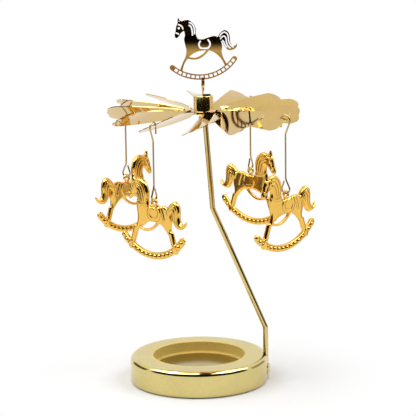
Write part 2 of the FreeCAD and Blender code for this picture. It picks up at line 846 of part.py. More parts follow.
for item in doc.Objects:
    if "Invalid" in item.State or "Error" in item.State:
        raise RuntimeError(f"{item.Label} failed: {item.State}")
for piece in pieces:
    if piece.Shape.isNull() or not piece.Shape.isValid():
        raise RuntimeError(f"{piece.Label} has no valid shape")
    if len(piece.Shape.Solids) != 1:
        raise RuntimeError(f"{piece.Label} is not one solid")

os.makedirs("parts", exist_ok=True)
for piece in pieces:
    piece.Shape.exportStep(f"parts/{piece.Label}.step")
    box = piece.Shape.BoundBox
    print(f"{piece.Label}: {piece.Shape.Volume:.1f} mm3, z {box.ZMin:.2f} to {box.ZMax:.2f}")
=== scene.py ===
import json
import math

import bmesh
import bpy
import numpy as np
from bpy.props import FloatProperty, FloatVectorProperty, IntProperty, PointerProperty
from bpy.types import Operator, Panel, PropertyGroup
from mathutils import Matrix, Vector, geometry, kdtree


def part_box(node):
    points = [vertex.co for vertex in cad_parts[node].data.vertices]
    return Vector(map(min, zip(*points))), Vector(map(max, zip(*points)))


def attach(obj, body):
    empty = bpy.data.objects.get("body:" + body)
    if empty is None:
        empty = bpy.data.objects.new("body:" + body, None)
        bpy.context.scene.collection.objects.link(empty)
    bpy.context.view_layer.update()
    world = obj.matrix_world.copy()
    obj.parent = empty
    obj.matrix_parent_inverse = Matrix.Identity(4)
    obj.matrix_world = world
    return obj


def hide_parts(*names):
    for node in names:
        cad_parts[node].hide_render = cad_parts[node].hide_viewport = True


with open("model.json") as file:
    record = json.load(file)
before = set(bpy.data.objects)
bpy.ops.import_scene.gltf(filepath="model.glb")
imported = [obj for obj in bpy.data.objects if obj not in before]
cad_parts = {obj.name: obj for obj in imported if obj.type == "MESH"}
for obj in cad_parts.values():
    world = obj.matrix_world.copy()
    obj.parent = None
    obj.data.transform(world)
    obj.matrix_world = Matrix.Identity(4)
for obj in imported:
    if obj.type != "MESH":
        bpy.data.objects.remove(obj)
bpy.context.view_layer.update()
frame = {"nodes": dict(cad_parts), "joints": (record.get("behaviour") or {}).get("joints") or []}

bl_info = {
    "name": "Carousel tealight holder",
    "version": (1, 0, 0),
    "blender": (4, 5, 0),
    "location": "3D View > Sidebar > Carousel",
    "description": "Builds the gold carousel tealight holder piece by piece on its CAD frame",
    "category": "Object",
}

MM = 0.001
JOINTS = {joint["name"]: joint for joint in frame["joints"]}
SPIN = Vector(JOINTS["rotor_spin"]["pos_m"])
PLACES = ("back_right", "back_left", "front_left", "front_right")
ROTOR_Z = sum(corner.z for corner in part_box("rotor")) / 2
HUB_LOW, HUB_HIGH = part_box("hub_cap")
BASE_LOW, BASE_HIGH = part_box("base_shell")
POST_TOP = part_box("post")[1].z

# Rocking-horse figure in hundredths of its height: across from the saddle with the head at minus,
# and up from the lowest point of the rocker. Each list is one smooth stretch of an outline.
BODY = [
    [(-41, 67.6), (-38, 70.4), (-34.5, 75.5), (-29.5, 79.3)],
    [(-29.5, 79.3), (-28, 73), (-29.4, 66), (-28, 58), (-26, 48), (-27.5, 38), (-32, 28), (-38, 11)],
    [(-38, 11), (-33, 8)],
    [(-33, 8), (-31.5, 20), (-26, 32), (-15, 42.5), (0, 47.2), (14, 46.3), (24, 40), (37, 17)],
    [(37, 17), (43, 21)],
    [(43, 21), (35, 32), (31, 44), (31.6, 56), (27, 68)],
    [(27, 68), (18, 70.6), (9, 68.4), (0, 65.6), (-6.5, 66.2), (-9.8, 72), (-10.5, 83), (-14.5, 91.5),
     (-22, 96.6), (-32.4, 95)],
    [(-32.4, 95), (-36, 96.5)],
    [(-36, 96.5), (-38, 100), (-39.4, 92)],
    [(-39.4, 92), (-41.8, 86.5), (-42.8, 79.5), (-44.3, 73), (-43.6, 69), (-41, 67.6)],
]
TAIL = [
    [(24, 64), (28.7, 75.5), (35.5, 80), (41.5, 77), (44.2, 69), (45, 60), (49, 54.2), (55.9, 58.6)],
    [(55.9, 58.6), (54.5, 52.5), (49.5, 48.2), (42, 47.4), (36, 53), (31, 62), (24, 64)],
]
GIRTH = [
    [(-27, 35), (-17.5, 33), (-10, 33), (-2.5, 35.6), (4, 40.4), (10.5, 48)],
    [(10.5, 48), (6, 48)],
    [(6, 48), (1, 42.4), (-5, 38.4), (-11, 36.2), (-18, 36.2), (-24, 38.5)],
    [(-24, 38.5), (-27, 35)],
]
SADDLE = [
    [(-4.5, 65), (-6.2, 56), (-3, 51.5), (3, 50.8), (9.5, 51.8), (12.5, 57), (9.5, 67.5)],
    [(9.5, 67.5), (2, 65.2), (-4.5, 65)],
]
# Legs of the moulded horse, which are stouter than the flat one's: width and centre line.
LEGS = [
    (7.2, [(-28.8, 34), (-32.2, 22), (-36, 9)]),
    (7.4, [(31.8, 38), (36, 28), (40.8, 18.5)]),
]
ROCKER_RADIUS = 73.0
ROCKER_CENTRE = (-5.0, ROCKER_RADIUS)
ROCKER_BAND = 8.8
ROCKER_SPAN = (-40.0, 55.0)
ROCKER_SCROLL = 4.2
RUNG_COUNT = 15
RUNG_SPAN = (-33.5, 52.0)
RUNG_SIZE = (5.2, 4.4)
SADDLE_TOP = (0.0, 65.6)
HORSE_LEAN = 4.6
FIGURE_GRID = 100

# Cut-outs of the flat horse: each slot's width and centre line, and each hole's radius and centre.
SLOTS = [
    (2.1, [(-38.2, 89.4), (-34.8, 88.4), (-32, 85.4), (-31, 82.6)]),
    (2.1, [(-42, 76.3), (-38, 74.5)]),
    (2.2, [(-20.6, 92.6), (-16.9, 90.9), (-14, 87), (-12.6, 81.2), (-12.4, 75)]),
    (2.3, [(-20.9, 88.2), (-18.2, 86.2), (-16.6, 81.2), (-15.9, 76.5), (-15.8, 72.8)]),
    (2.6, [(-3.5, 62.2), (-5.6, 57), (-3.4, 52), (2.8, 50.8), (9.4, 51.9), (12.2, 57), (9.1, 64.4)]),
    (2.0, [(28, 70), (31.2, 74.6), (35.7, 76.6), (39.8, 74), (41.6, 68.6), (42.2, 62), (45, 56),
           (49.6, 52.4)]),
    (2.0, [(29.4, 66), (32.2, 69.4), (35.3, 70.2), (37.6, 67), (38.6, 60.6), (40.6, 55), (44.4, 51)]),
    (2.0, [(32.6, 63.2), (34.6, 60.2), (36.2, 56), (39, 52.4)]),
]
HOLES = [(1.8, (-37.6, 83.8)), (0.8, (-37, 95))]

# Raised lines of the moulded horse: half width in hundredths, height in millimetres, centre line.
MANE = [
    (1.9, 0.46, [(-31, 94), (-22, 94.7), (-15.8, 89.8), (-12.8, 82.8), (-11.6, 73.5)]),
    (1.9, 0.46, [(-30.5, 91), (-22.8, 90.8), (-18, 86), (-15.6, 79.6), (-14, 71)]),
    (1.9, 0.44, [(-29.4, 87.2), (-24.4, 86.4), (-20.6, 81.8), (-18.8, 76.4), (-17, 69.6)]),
    (1.7, 0.36, [(-28, 83), (-25.6, 81.8), (-23.2, 77.6), (-21.8, 73.6), (-20, 68.6)]),
]
TAIL_LOCKS = [
    (1.9, 0.46, [(25, 67.6), (29.6, 74.8), (35.5, 78), (40.9, 75), (42.8, 68.5), (43.6, 60), (47.5, 53),
                 (54.6, 56)]),
    (1.9, 0.46, [(26, 65.4), (31, 71), (35.5, 73.6), (38.7, 70.4), (39.7, 64.8), (41, 57.6), (45.3, 51),
                 (53.5, 53)]),
    (1.9, 0.46, [(27, 63.6), (32, 66.8), (34.8, 68.4), (36, 65.6), (36.8, 61), (38.8, 54.8), (43.5, 49.6),
                 (50, 50)]),
    (1.6, 0.4, [(27, 62), (31.2, 62.6), (33.2, 60.8), (35, 56.4), (38.6, 51.4), (43.6, 48.6)]),
]
HARNESS = [
    (0.9, 0.26, [(-40, 89), (-35.5, 90), (-31.4, 91.6)]),
    (0.9, 0.26, [(-32.4, 91), (-35, 84), (-38.6, 76)]),
    (1.0, 0.28, [(-43.4, 77), (-40, 75), (-36, 74)]),
    (0.9, 0.22, [(-37, 75), (-30, 69), (-20, 66), (-10, 66.6)]),
    (2.0, 0.46, [(-4.4, 64.4), (-5.8, 56.2), (-3, 52.2), (3, 51.4), (9.2, 52.4), (11.9, 57.2), (9.2, 66.4)]),
    (1.5, 0.34, [(3.2, 51), (4.4, 46.8)]),
    (1.5, 0.38, [(13, 69.2), (17.4, 62), (20.4, 54)]),
    (1.2, 0.26, [(-36.2, 17.6), (-32.6, 15.8)]),
    (1.2, 0.26, [(37.4, 23.6), (41, 26.2)]),
]
BUMPS = [(1.6, 0.32, (-37.2, 84.6)), (1.4, 0.26, (-41.6, 71.4))]


def length_setting(name, description, default):
    return FloatProperty(name=name, description=description, default=default, unit="LENGTH")


def angle_setting(name, description, degrees):
    return FloatProperty(
        name=name, description=description, default=math.radians(degrees), subtype="ANGLE", unit="ROTATION")


def colour_setting(name, description, default):
    return FloatVectorProperty(
        name=name, description=description, default=default, subtype="COLOR", min=0.0, max=1.0)


class CarouselSizes(PropertyGroup):
    """Sizes that a maker would change."""

    base_radius: length_setting(
        "Base radius", "Outer radius of the pressed base", (BASE_HIGH.y - BASE_LOW.y) / 2)
    base_height: length_setting("Base height", "Height of the base's flat ring above the table", BASE_HIGH.z)
    base_sheet: length_setting("Base sheet", "Thickness of the base's sheet", 0.6 * MM)
    shoulder: length_setting("Shoulder", "Radius of the base's rounded shoulder", 2.2 * MM)
    well_radius: length_setting("Well radius", "Radius of the candle well", 20.0 * MM)
    well_depth: length_setting("Well depth", "Depth of the candle well", 5.0 * MM)
    post_radius: length_setting("Post radius", "Radius of the bent rod", 1.15 * MM)
    post_bend: length_setting("Post bend", "Inner radius of the rod's bends", 4.0 * MM)
    needle_length: length_setting("Needle length", "Length of the ground point", 5.0 * MM)
    rotor_sheet: length_setting("Rotor sheet", "Thickness of the rotor's sheet", 0.35 * MM)
    blade_count: IntProperty(name="Blades", description="Number of blades on the rotor", default=12)
    blade_tip: length_setting("Blade tip", "Radius from the axis to a blade's end", 41.2 * MM)
    blade_width: length_setting("Blade width", "Widest part of a blade", 18.4 * MM)
    blade_pitch: angle_setting("Blade pitch", "Twist of each blade about its neck", 23.0)
    blade_twist: angle_setting("Blade twist", "Extra pitch at each blade's root", 18.0)
    hub_radius: length_setting("Hub radius", "Radius of the hub cap", 4.2 * MM)
    wire_radius: length_setting("Wire radius", "Radius of the hangers' wire", 0.35 * MM)
    horse_height: length_setting("Horse height", "Height of a hanging horse", 34.0 * MM)
    topper_height: length_setting("Topper height", "Height of the flat horse", 26.4 * MM)
    topper_sheet: length_setting("Topper sheet", "Thickness of the flat horse", 0.5 * MM)


class CarouselFinish(PropertyGroup):
    """Colours of the plated finishes."""

    base_gold: colour_setting("Base gold", "Pale plating of the pressed base", (0.70, 0.58, 0.235))
    post_gold: colour_setting("Post gold", "Plating of the rod and strap", (0.72, 0.57, 0.24))
    rotor_gold: colour_setting("Rotor gold", "Bright plating of the rotor's sheet", (0.67, 0.46, 0.16))
    hub_gold: colour_setting("Hub gold", "Plating of the turned hub", (0.72, 0.52, 0.20))
    topper_gold: colour_setting("Topper gold", "Mirror plating of the flat horse", (0.70, 0.48, 0.18))
    wire_gold: colour_setting("Wire gold", "Plating of the hangers", (0.55, 0.40, 0.17))
    horse_gold: colour_setting("Horse gold", "Deep plating of the hanging horses", (0.93, 0.56, 0.115))


def sizes():
    return bpy.context.scene.carousel_sizes


def finishes():
    return bpy.context.scene.carousel_finish


class Value:
    """A node's output that takes part in arithmetic."""

    def __init__(self, graph, socket):
        self.graph = graph
        self.socket = socket

    def maths(self, operation, *values):
        inputs = dict(enumerate(values))
        return self.graph.add("ShaderNodeMath", {"operation": operation}, inputs)

    def __add__(self, other):
        return self.maths("ADD", self, other)

    def __rsub__(self, other):
        return self.maths("SUBTRACT", other, self)

    def __mul__(self, other):
        return self.maths("MULTIPLY", self, other)

    __radd__ = __add__


class Graph:
    """Adds nodes to a shader or geometry tree."""

    def __init__(self, tree):
        self.tree = tree

    def add(self, kind, settings=None, inputs=None, output=0):
        node = self.tree.nodes.new(kind)
        for name, setting in (settings or {}).items():
            if name == "stops":
                elements = node.color_ramp.elements
                elements[0].position, elements[1].position = setting[0][0], setting[-1][0]
                elements[0].color, elements[1].color = setting[0][1], setting[-1][1]
                for place, shade in setting[1:-1]:
                    elements.new(place).color = shade
            else:
                setattr(node, name, setting)
        for name, value in (inputs or {}).items():
            if isinstance(value, Value):
                self.tree.links.new(value.socket, node.inputs[name])
            else:
                node.inputs[name].default_value = value
        return Value(self, node.outputs[output]) if node.outputs else None


WHITE = (1.0, 1.0, 1.0, 1.0)
# sockets of the Mix node for colours: both inputs and the result
MIX_FIRST, MIX_SECOND, MIX_RESULT = 6, 7, 2


def new_material(name):
    material = bpy.data.materials.new(name)
    material.use_nodes = True
    material.node_tree.nodes.clear()
    return material, Graph(material.node_tree)


def close_material(graph, shader):
    graph.add("ShaderNodeOutputMaterial", None, {"Surface": shader})


def tint(hue, shade=1.0):
    return (*(min(c * shade, 1.0) for c in hue), 1.0)


def object_place(graph):
    return graph.add("ShaderNodeTexCoord", None, None, "Object")


def noise(graph, place, scale, detail):
    return graph.add("ShaderNodeTexNoise", None, {"Vector": place, "Scale": scale, "Detail": detail})


def ramp(graph, value, start, end):
    """Smooth step from 0 at the start to 1 at the end."""
    inputs = {"Value": value, "From Min": start, "From Max": end}
    return graph.add("ShaderNodeMapRange", {"interpolation_type": "SMOOTHSTEP"}, inputs)


def shades(graph, share, stops):
    """Colour along a ramp of pairs of place and colour."""
    return graph.add("ShaderNodeValToRGB", {"stops": stops}, {"Fac": share})


def mix(graph, share, first, second, blend="MIX"):
    """Mix of two colours."""
    inputs = {0: share, MIX_FIRST: first, MIX_SECOND: second}
    return graph.add("ShaderNodeMix", {"data_type": "RGBA", "blend_type": blend}, inputs, MIX_RESULT)


def vector_maths(graph, operation, *values, output="Vector"):
    return graph.add("ShaderNodeVectorMath", {"operation": operation}, dict(enumerate(values)), output)


def axis_part(graph, place, axis):
    return graph.add("ShaderNodeSeparateXYZ", None, {0: place}, axis)


CLOUD_SCALE, CLOUD_DETAIL, CLOUD_SHARE = 70.0, 4.0, 0.6
SPECK_SCALE, SPECK_DETAIL, SPECK_SHARE = 900.0, 2.0, 0.4
# places on the mix of clouds and specks, with the shade of the plating there
PLATING_SHADES = ((0.25, 0.86), (0.75, 1.06))
# darkness of the painted shade in the hollows of a relief
PAINTED_SHADE = 0.28
WAVE_DEPTH, WAVE_DETAIL = 1.0 * MM, 1.0
GRAIN_DEPTH, GRAIN_DETAIL = 0.05 * MM, 2.0
TURNED_DETAIL = 3.0
DRAWN_STRETCH = 0.02
# gloss of each finish: roughness, smudges, wave in the sheet and its scale, and the grain's traces
GLOSS = {
    "base": {"rough": 0.06, "smudge": 0.06, "grain_rough": 0.05, "grain_bump": 0.12},
    "post": {"rough": 0.05, "smudge": 0.06, "grain_rough": 0.03, "grain_bump": 0.02},
    "rotor": {"rough": 0.03, "smudge": 0.04, "wave": 0.04, "wave_scale": 55.0},
    "hub": {"rough": 0.05, "smudge": 0.05, "grain_rough": 0.03, "grain_bump": 0.1},
    "topper": {"rough": 0.012, "smudge": 0.02, "wave": 0.015, "wave_scale": 60.0},
    "wire": {"rough": 0.12, "smudge": 0.1},
    "horse": {"rough": 0.08, "smudge": 0.06, "wave": 0.05, "wave_scale": 260.0},
}


def metal(name, hue, rough, smudge, wave=0.0, wave_scale=0.0, grain=None, grain_rough=0.0, grain_bump=0.0,
          satin=None, painted_shading=None, painted_shade=None):
    """Plated metal: cloudy smudges in its gloss, a slow wave in its sheet, and optional grain,
    satin zones, zones of painted light and shade, and painted shade that darkens its hollows."""
    material, graph = new_material(name)
    place = object_place(graph)
    clouds = noise(graph, place, CLOUD_SCALE, CLOUD_DETAIL)
    specks = noise(graph, place, SPECK_SCALE, SPECK_DETAIL)
    stops = [(at, tint(hue, shade)) for at, shade in PLATING_SHADES]
    plating = shades(graph, clouds * CLOUD_SHARE + specks * SPECK_SHARE, stops)
    # painted shade: the colour darkens where the named attribute marks hollows
    if painted_shade:
        hollow = graph.add("ShaderNodeAttribute", {"attribute_name": painted_shade}, None, "Fac")
        plating = mix(graph, hollow, plating, tint(hue, PAINTED_SHADE))
    # painted light and shade: the colour is scaled zone by zone
    if painted_shading:
        plating = mix(graph, 1.0, plating, painted_shading(graph, place), "MULTIPLY")
    gloss = rough + clouds * smudge
    if satin:
        gloss = gloss + satin(graph, place)
    normal = {}
    if wave:
        slow = noise(graph, place, wave_scale, WAVE_DETAIL)
        inputs = {"Height": slow, "Strength": wave, "Distance": WAVE_DEPTH}
        normal = {"Normal": graph.add("ShaderNodeBump", None, inputs)}
    if grain:
        lines = grain(graph, place)
        gloss = gloss + lines * grain_rough
        inputs = {"Height": lines, "Strength": grain_bump, "Distance": GRAIN_DEPTH, **normal}
        normal = {"Normal": graph.add("ShaderNodeBump", None, inputs)}
    inputs = {"Base Color": plating, "Metallic": 1.0, "Roughness": gloss, **normal}
    close_material(graph, graph.add("ShaderNodeBsdfPrincipled", None, inputs))
    return material


def axis_distance(graph, place):
    """Distance of a place from the Z axis."""
    flat = vector_maths(graph, "MULTIPLY", place, (1.0, 1.0, 0.0))
    return vector_maths(graph, "LENGTH", flat, output="Value")


def rings(stops):
    """Values that change with the distance from the Z axis, given as pairs of radius and value."""
    reach = stops[-1][0]
    shares = [(radius / reach, (value, value, value, 1.0)) for radius, value in stops]

    def zone(graph, place):
        return shades(graph, axis_distance(graph, place) * (1.0 / reach), shares)

    return zone


def turned_lines(pitch):
    """Fine rings round the Z axis, as left by turning and polishing."""

    def lines(graph, place):
        along = (axis_distance(graph, place) + axis_part(graph, place, "Z")) * (1.0 / pitch)
        inputs = {"W": along, "Scale": 1.0, "Detail": TURNED_DETAIL}
        return graph.add("ShaderNodeTexNoise", {"noise_dimensions": "1D"}, inputs)

    return lines


def drawn_lines(pitch):
    """Fine lines along a vertical rod, as left by drawing."""

    def lines(graph, place):
        spread = (1.0 / pitch, 1.0 / pitch, DRAWN_STRETCH / pitch)
        return noise(graph, vector_maths(graph, "MULTIPLY", place, spread), 1.0, GRAIN_DETAIL)

    return lines


WELD_GAP = 0.001 * MM
ARC_STEPS = 14
LATHE_STEPS = 288
BOX_SIDES = ((0, 1, 3, 2), (4, 6, 7, 5), (0, 4, 5, 1), (2, 3, 7, 6), (0, 2, 6, 4), (1, 5, 7, 3))
STRIP_CORNERS = ((-1, -1), (1, -1), (1, 1), (-1, 1))
# least angle in degrees at which faces meet in a sharp crease
SHEET_CREASE, BASE_CREASE, SEAT_CREASE, HUB_CREASE = 25, 30, 30, 35
ROD_CREASE, STRAP_CREASE, WIRE_CREASE = 9, 40, 40


def build_mesh(name, points, faces):
    mesh = bpy.data.meshes.new(name)
    mesh.from_pydata([tuple(p) for p in points], [], [tuple(f) for f in faces])
    return mesh


def weld(mesh):
    """Merge doubled points and point every face outwards."""
    shape = bmesh.new()
    shape.from_mesh(mesh)
    bmesh.ops.remove_doubles(shape, verts=shape.verts, dist=WELD_GAP)
    bmesh.ops.dissolve_degenerate(shape, edges=shape.edges, dist=WELD_GAP)
    bmesh.ops.recalc_face_normals(shape, faces=shape.faces)
    shape.to_mesh(mesh)
    shape.free()
    return mesh


def join(name, *meshes):
    points, faces = [], []
    for mesh in meshes:
        start = len(points)
        points += [v.co[:] for v in mesh.vertices]
        faces += [[start + i for i in p.vertices] for p in mesh.polygons]
        bpy.data.meshes.remove(mesh)
    return build_mesh(name, points, faces)


def soften(mesh, crease):
    mesh.shade_smooth()
    mesh.set_sharp_from_angle(angle=math.radians(crease))
    return mesh


def add_object(name, data):
    thing = bpy.data.objects.new(name, data)
    bpy.context.scene.collection.objects.link(thing)
    return thing


def place_piece(name, mesh, material, body, node):
    """Add a finished piece, which rides on a body and stands for a CAD node."""
    mesh.materials.clear()
    mesh.materials.append(material)
    piece = add_object(name, mesh)
    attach(piece, body)
    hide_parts(node)


def node_copy(node):
    """Merged copy of a CAD node's mesh."""
    return weld(frame["nodes"][node].data.copy())


def bake_modifiers(piece):
    """The piece's mesh with its modifiers in it. The piece itself is removed."""
    bpy.context.view_layer.update()
    graph = bpy.context.evaluated_depsgraph_get()
    mesh = bpy.data.meshes.new_from_object(piece.evaluated_get(graph))
    bpy.data.objects.remove(piece)
    return mesh


def arc(centre, radius, start, end, steps=ARC_STEPS):
    """Points on an arc, angles in degrees."""
    angles = np.radians(np.linspace(start, end, steps + 1))
    return [(centre[0] + radius * math.cos(a), centre[1] + radius * math.sin(a)) for a in angles]


def box_mesh(name, across, along, up):
    """Box between the low and high values on each axis."""
    return weld(build_mesh(name, [(x, y, z) for x in across for y in along for z in up], BOX_SIDES))


def strip_mesh(name, stations, thickness, upright=False):
    """Flat strip along X, or along Z if upright, given as its distance, width and turn at each station."""
    points, faces = [], []
    for reach, width, turn in stations:
        for a, b in STRIP_CORNERS:
            a, b = a * width / 2, b * thickness / 2
            across, over = a * math.cos(turn) - b * math.sin(turn), a * math.sin(turn) + b * math.cos(turn)
            points.append((across, over, reach) if upright else (reach, across, over))
    last = len(points) - 4
    for i in range(0, last, 4):
        for j in range(4):
            k = (j + 1) % 4
            faces.append((i + j, i + k, i + 4 + k, i + 4 + j))
    faces += [(3, 2, 1, 0), (last, last + 1, last + 2, last + 3)]
    return weld(build_mesh(name, points, faces))


def lathe(name, section, centre=(0.0, 0.0), height=0.0):
    """Turn a closed half section of (radius, height) points about a vertical axis."""
    points, faces, count = [], [], len(section)
    for i in range(LATHE_STEPS):
        turn = 2 * math.pi * i / LATHE_STEPS
        x, y = math.cos(turn), math.sin(turn)
        points += [(centre[0] + radius * x, centre[1] + radius * y, height + up) for radius, up in section]
        after = (i + 1) % LATHE_STEPS
        for j in range(count):
            k = (j + 1) % count
            faces.append((i * count + j, after * count + j, after * count + k, i * count + k))
    return weld(build_mesh(name, points, faces))


def fillet(corners, radius):
    """Open path of 2D points whose inner corners are rounded by tangent arcs."""
    path = [Vector(corners[0])]
    for before, here, after in zip(corners, corners[1:], corners[2:]):
        before, here, after = Vector(before), Vector(here), Vector(after)
        a, b = (before - here).normalized(), (after - here).normalized()
        half = a.angle(b) / 2
        reach = radius / math.tan(half)
        centre = here + (a + b).normalized() * (radius / math.sin(half))
        first, last = here + a * reach - centre, here + b * reach - centre
        sweep = first.angle_signed(last)
        for i in range(ARC_STEPS + 1):
            path.append(centre + Matrix.Rotation(-sweep * i / ARC_STEPS, 2) @ first)
    return path + [Vector(corners[-1])]


def new_tree(name, sockets):
    """Geometry node tree: its graph, the values of its inputs and the identifiers of the named ones."""
    tree = bpy.data.node_groups.new(name, "GeometryNodeTree")
    tree.interface.new_socket("Geometry", in_out="INPUT", socket_type="NodeSocketGeometry")
    keys = {}
    for label, kind in sockets:
        socket = tree.interface.new_socket(label, in_out="INPUT", socket_type=f"NodeSocket{kind}")
        keys[label] = socket.identifier
    tree.interface.new_socket("Geometry", in_out="OUTPUT", socket_type="NodeSocketGeometry")
    graph = Graph(tree)
    given = tree.nodes.new("NodeGroupInput")
    return graph, [Value(graph, given.outputs[i]) for i in range(len(sockets) + 1)], keys


def close_tree(graph, shape, coat):
    whole = graph.add("GeometryNodeRealizeInstances", None, {"Geometry": shape})
    coated = graph.add("GeometryNodeSetMaterial", None, {"Geometry": whole, "Material": coat})
    graph.add("NodeGroupOutput", None, {0: coated})


def run_tree(piece, graph, keys, settings):
    """Plain mesh of a piece after a node tree with its inputs set. The piece and the tree are removed."""
    nodes = piece.modifiers.new("nodes", "NODES")
    nodes.node_group = graph.tree
    for label, value in settings.items():
        nodes[keys[label]] = value
    mesh = bake_modifiers(piece)
    bpy.data.node_groups.remove(graph.tree)
    return mesh


def sweep_tree():
    """Geometry nodes that sweep a round wire along a curve."""
    sockets = (("Wire Radius", "Float"), ("Sides", "Int"), ("Material", "Material"))
    graph, (path, radius, sides, coat), keys = new_tree("wire_along_path", sockets)
    ring = graph.add("GeometryNodeCurvePrimitiveCircle", None, {"Resolution": sides, "Radius": radius})
    taper = graph.add("GeometryNodeInputRadius")
    inputs = {"Curve": path, "Profile Curve": ring, "Scale": taper, "Fill Caps": True}
    close_tree(graph, graph.add("GeometryNodeCurveToMesh", None, inputs), coat)
    return graph, keys


def swept(name, points, radii, wire_radius, sides, material):
    """Mesh of a round wire along the points, with a relative radius at each."""
    curve = bpy.data.curves.new(name, "CURVE")
    curve.dimensions = "3D"
    line = curve.splines.new("POLY")
    line.points.add(len(points) - 1)
    for spot, point, radius in zip(line.points, points, radii):
        spot.co = (*point, 1.0)
        spot.radius = radius
    settings = {"Wire Radius": wire_radius, "Sides": sides, "Material": material}
    mesh = run_tree(add_object(name, curve), *sweep_tree(), settings)
    bpy.data.curves.remove(curve)
    return weld(mesh)


# Flat and relief figures are triangulated from their outlines.

POINT_GAP = 0.11 * MM
LEAST_STEPS = 8
MERGE_GAP = 1e-7
LEAST_EDGE, LEAST_NORMAL, LEAST_RUN = 1e-12, 1e-9, 1e-18
# share of a ring's offset that its points keep from every part of the rim
RING_KEEP = 0.86


def smooth_line(points, gap=POINT_GAP):
    """Points along a smooth curve through the given ones, about a gap apart."""
    points = np.array(points, float)
    reach = np.r_[0, np.cumsum(np.linalg.norm(np.diff(points, axis=0), axis=1))]
    steps = max(int(round(reach[-1] / gap)), 2)
    at = np.linspace(0, reach[-1], steps + 1)
    if len(points) == 2:
        return np.stack([np.interp(at, reach, points[:, i]) for i in range(2)], axis=1)
    slope = np.gradient(points, reach, axis=0, edge_order=2)
    i = np.clip(np.searchsorted(reach, at, side="right") - 1, 0, len(reach) - 2)
    span = reach[i + 1] - reach[i]
    t = ((at - reach[i]) / span)[:, None]
    span = span[:, None]
    return ((2 * t**3 - 3 * t**2 + 1) * points[i] + (t**3 - 2 * t**2 + t) * span * slope[i]
            + (3 * t**2 - 2 * t**3) * points[i + 1] + (t**3 - t**2) * span * slope[i + 1])


def outline(stretches, grid):
    """Closed loop of points from an outline's stretches."""
    return np.concatenate([smooth_line(np.array(s) * grid)[:-1] for s in stretches])


def straight_loop(corners):
    """Closed loop of points along straight sides."""
    corners = list(corners)
    return np.concatenate([smooth_line([a, b])[:-1] for a, b in zip(corners, corners[1:] + corners[:1])])


def ring_points(centre, radius, start=0.0, end=360.0):
    steps = max(int(math.radians(end - start) * radius / POINT_GAP), LEAST_STEPS)
    return np.array(arc(centre, radius, start, end, steps))


def rocker_point(angle, radius):
    turn = math.radians(angle)
    return (ROCKER_CENTRE[0] + radius * math.sin(turn), ROCKER_CENTRE[1] - radius * math.cos(turn))


def rocker_loops(grid):
    """Runner band, rounded heel and front scroll."""
    centre = (ROCKER_CENTRE[0] * grid, ROCKER_CENTRE[1] * grid)
    low, high = (a - 90 for a in ROCKER_SPAN)
    below = ring_points(centre, ROCKER_RADIUS * grid, low, high)
    above = ring_points(centre, (ROCKER_RADIUS - ROCKER_BAND) * grid, low, high)[::-1]
    middle = ROCKER_RADIUS - ROCKER_BAND / 2
    front, back = (np.array(rocker_point(a, middle)) * grid for a in ROCKER_SPAN)
    return [
        np.concatenate([below, above]),
        ring_points(back, ROCKER_BAND / 2 * grid)[:-1],
        ring_points(front, ROCKER_SCROLL * grid)[:-1],
    ]


def rung_loops(grid):
    """Windows through the flat horse's runner."""
    loops = []
    wide, deep = (side * grid / 2 for side in RUNG_SIZE)
    for angle in np.linspace(*RUNG_SPAN, RUNG_COUNT):
        spot = np.array(rocker_point(angle, ROCKER_RADIUS - ROCKER_BAND / 2)) * grid
        turn = math.radians(angle)
        along = np.array((math.cos(turn), math.sin(turn)))
        up = np.array((-math.sin(turn), math.cos(turn)))
        loops.append(straight_loop(spot + along * (x * wide) + up * (y * deep) for x, y in STRIP_CORNERS))
    return loops


def slot_loop(width, centre, grid):
    """Strip of even width along a smooth centre line, with rounded ends."""
    line = smooth_line(np.array(centre) * grid)
    along = np.gradient(line, axis=0)
    along /= np.linalg.norm(along, axis=1)[:, None]
    side = np.stack([-along[:, 1], along[:, 0]], axis=1) * (width * grid / 2)

    def cap(spot, across):
        angle = math.degrees(math.atan2(across[1], across[0]))
        return ring_points(spot, width * grid / 2, angle - 180, angle)[1:-1][::-1]

    return np.concatenate(
        [line + side, cap(line[-1], side[-1]), (line - side)[::-1], cap(line[0], -side[0])])


def inside(points, loops):
    """Which points lie in any of the loops."""
    x, z = points.T
    found = np.zeros(len(points), bool)
    for loop in loops:
        odd = np.zeros(len(points), bool)
        for (x0, z0), (x1, z1) in zip(loop, np.roll(loop, -1, axis=0)):
            if z0 != z1:
                odd ^= ((z0 > z) != (z1 > z)) & (x < (x1 - x0) * (z - z0) / (z1 - z0) + x0)
        found |= odd
    return found


def triangulate(points, edges, loops, holes):
    """Triangles that fill the loops and leave the holes open."""
    result = geometry.delaunay_2d_cdt([Vector(p) for p in points], edges, [], 0, MERGE_GAP)
    spots, faces = np.array([v[:] for v in result[0]]), np.array(result[2])
    middles = spots[faces].mean(axis=1)
    kept = inside(middles, loops)
    if holes:
        kept &= ~inside(middles, holes)
    return spots, faces[kept]


def rim_edges(faces):
    """Directed edges that only one triangle has, with the figure on their left."""
    edges = {(f[i], f[(i + 1) % 3]) for f in faces.tolist() for i in range(3)}
    return [(a, b) for a, b in edges if (b, a) not in edges]


def nearest(points, targets):
    tree = kdtree.KDTree(len(targets))
    for i, (x, z) in enumerate(targets):
        tree.insert((x, z, 0.0), i)
    tree.balance()
    return np.array([tree.find((x, z, 0.0))[2] for x, z in points])


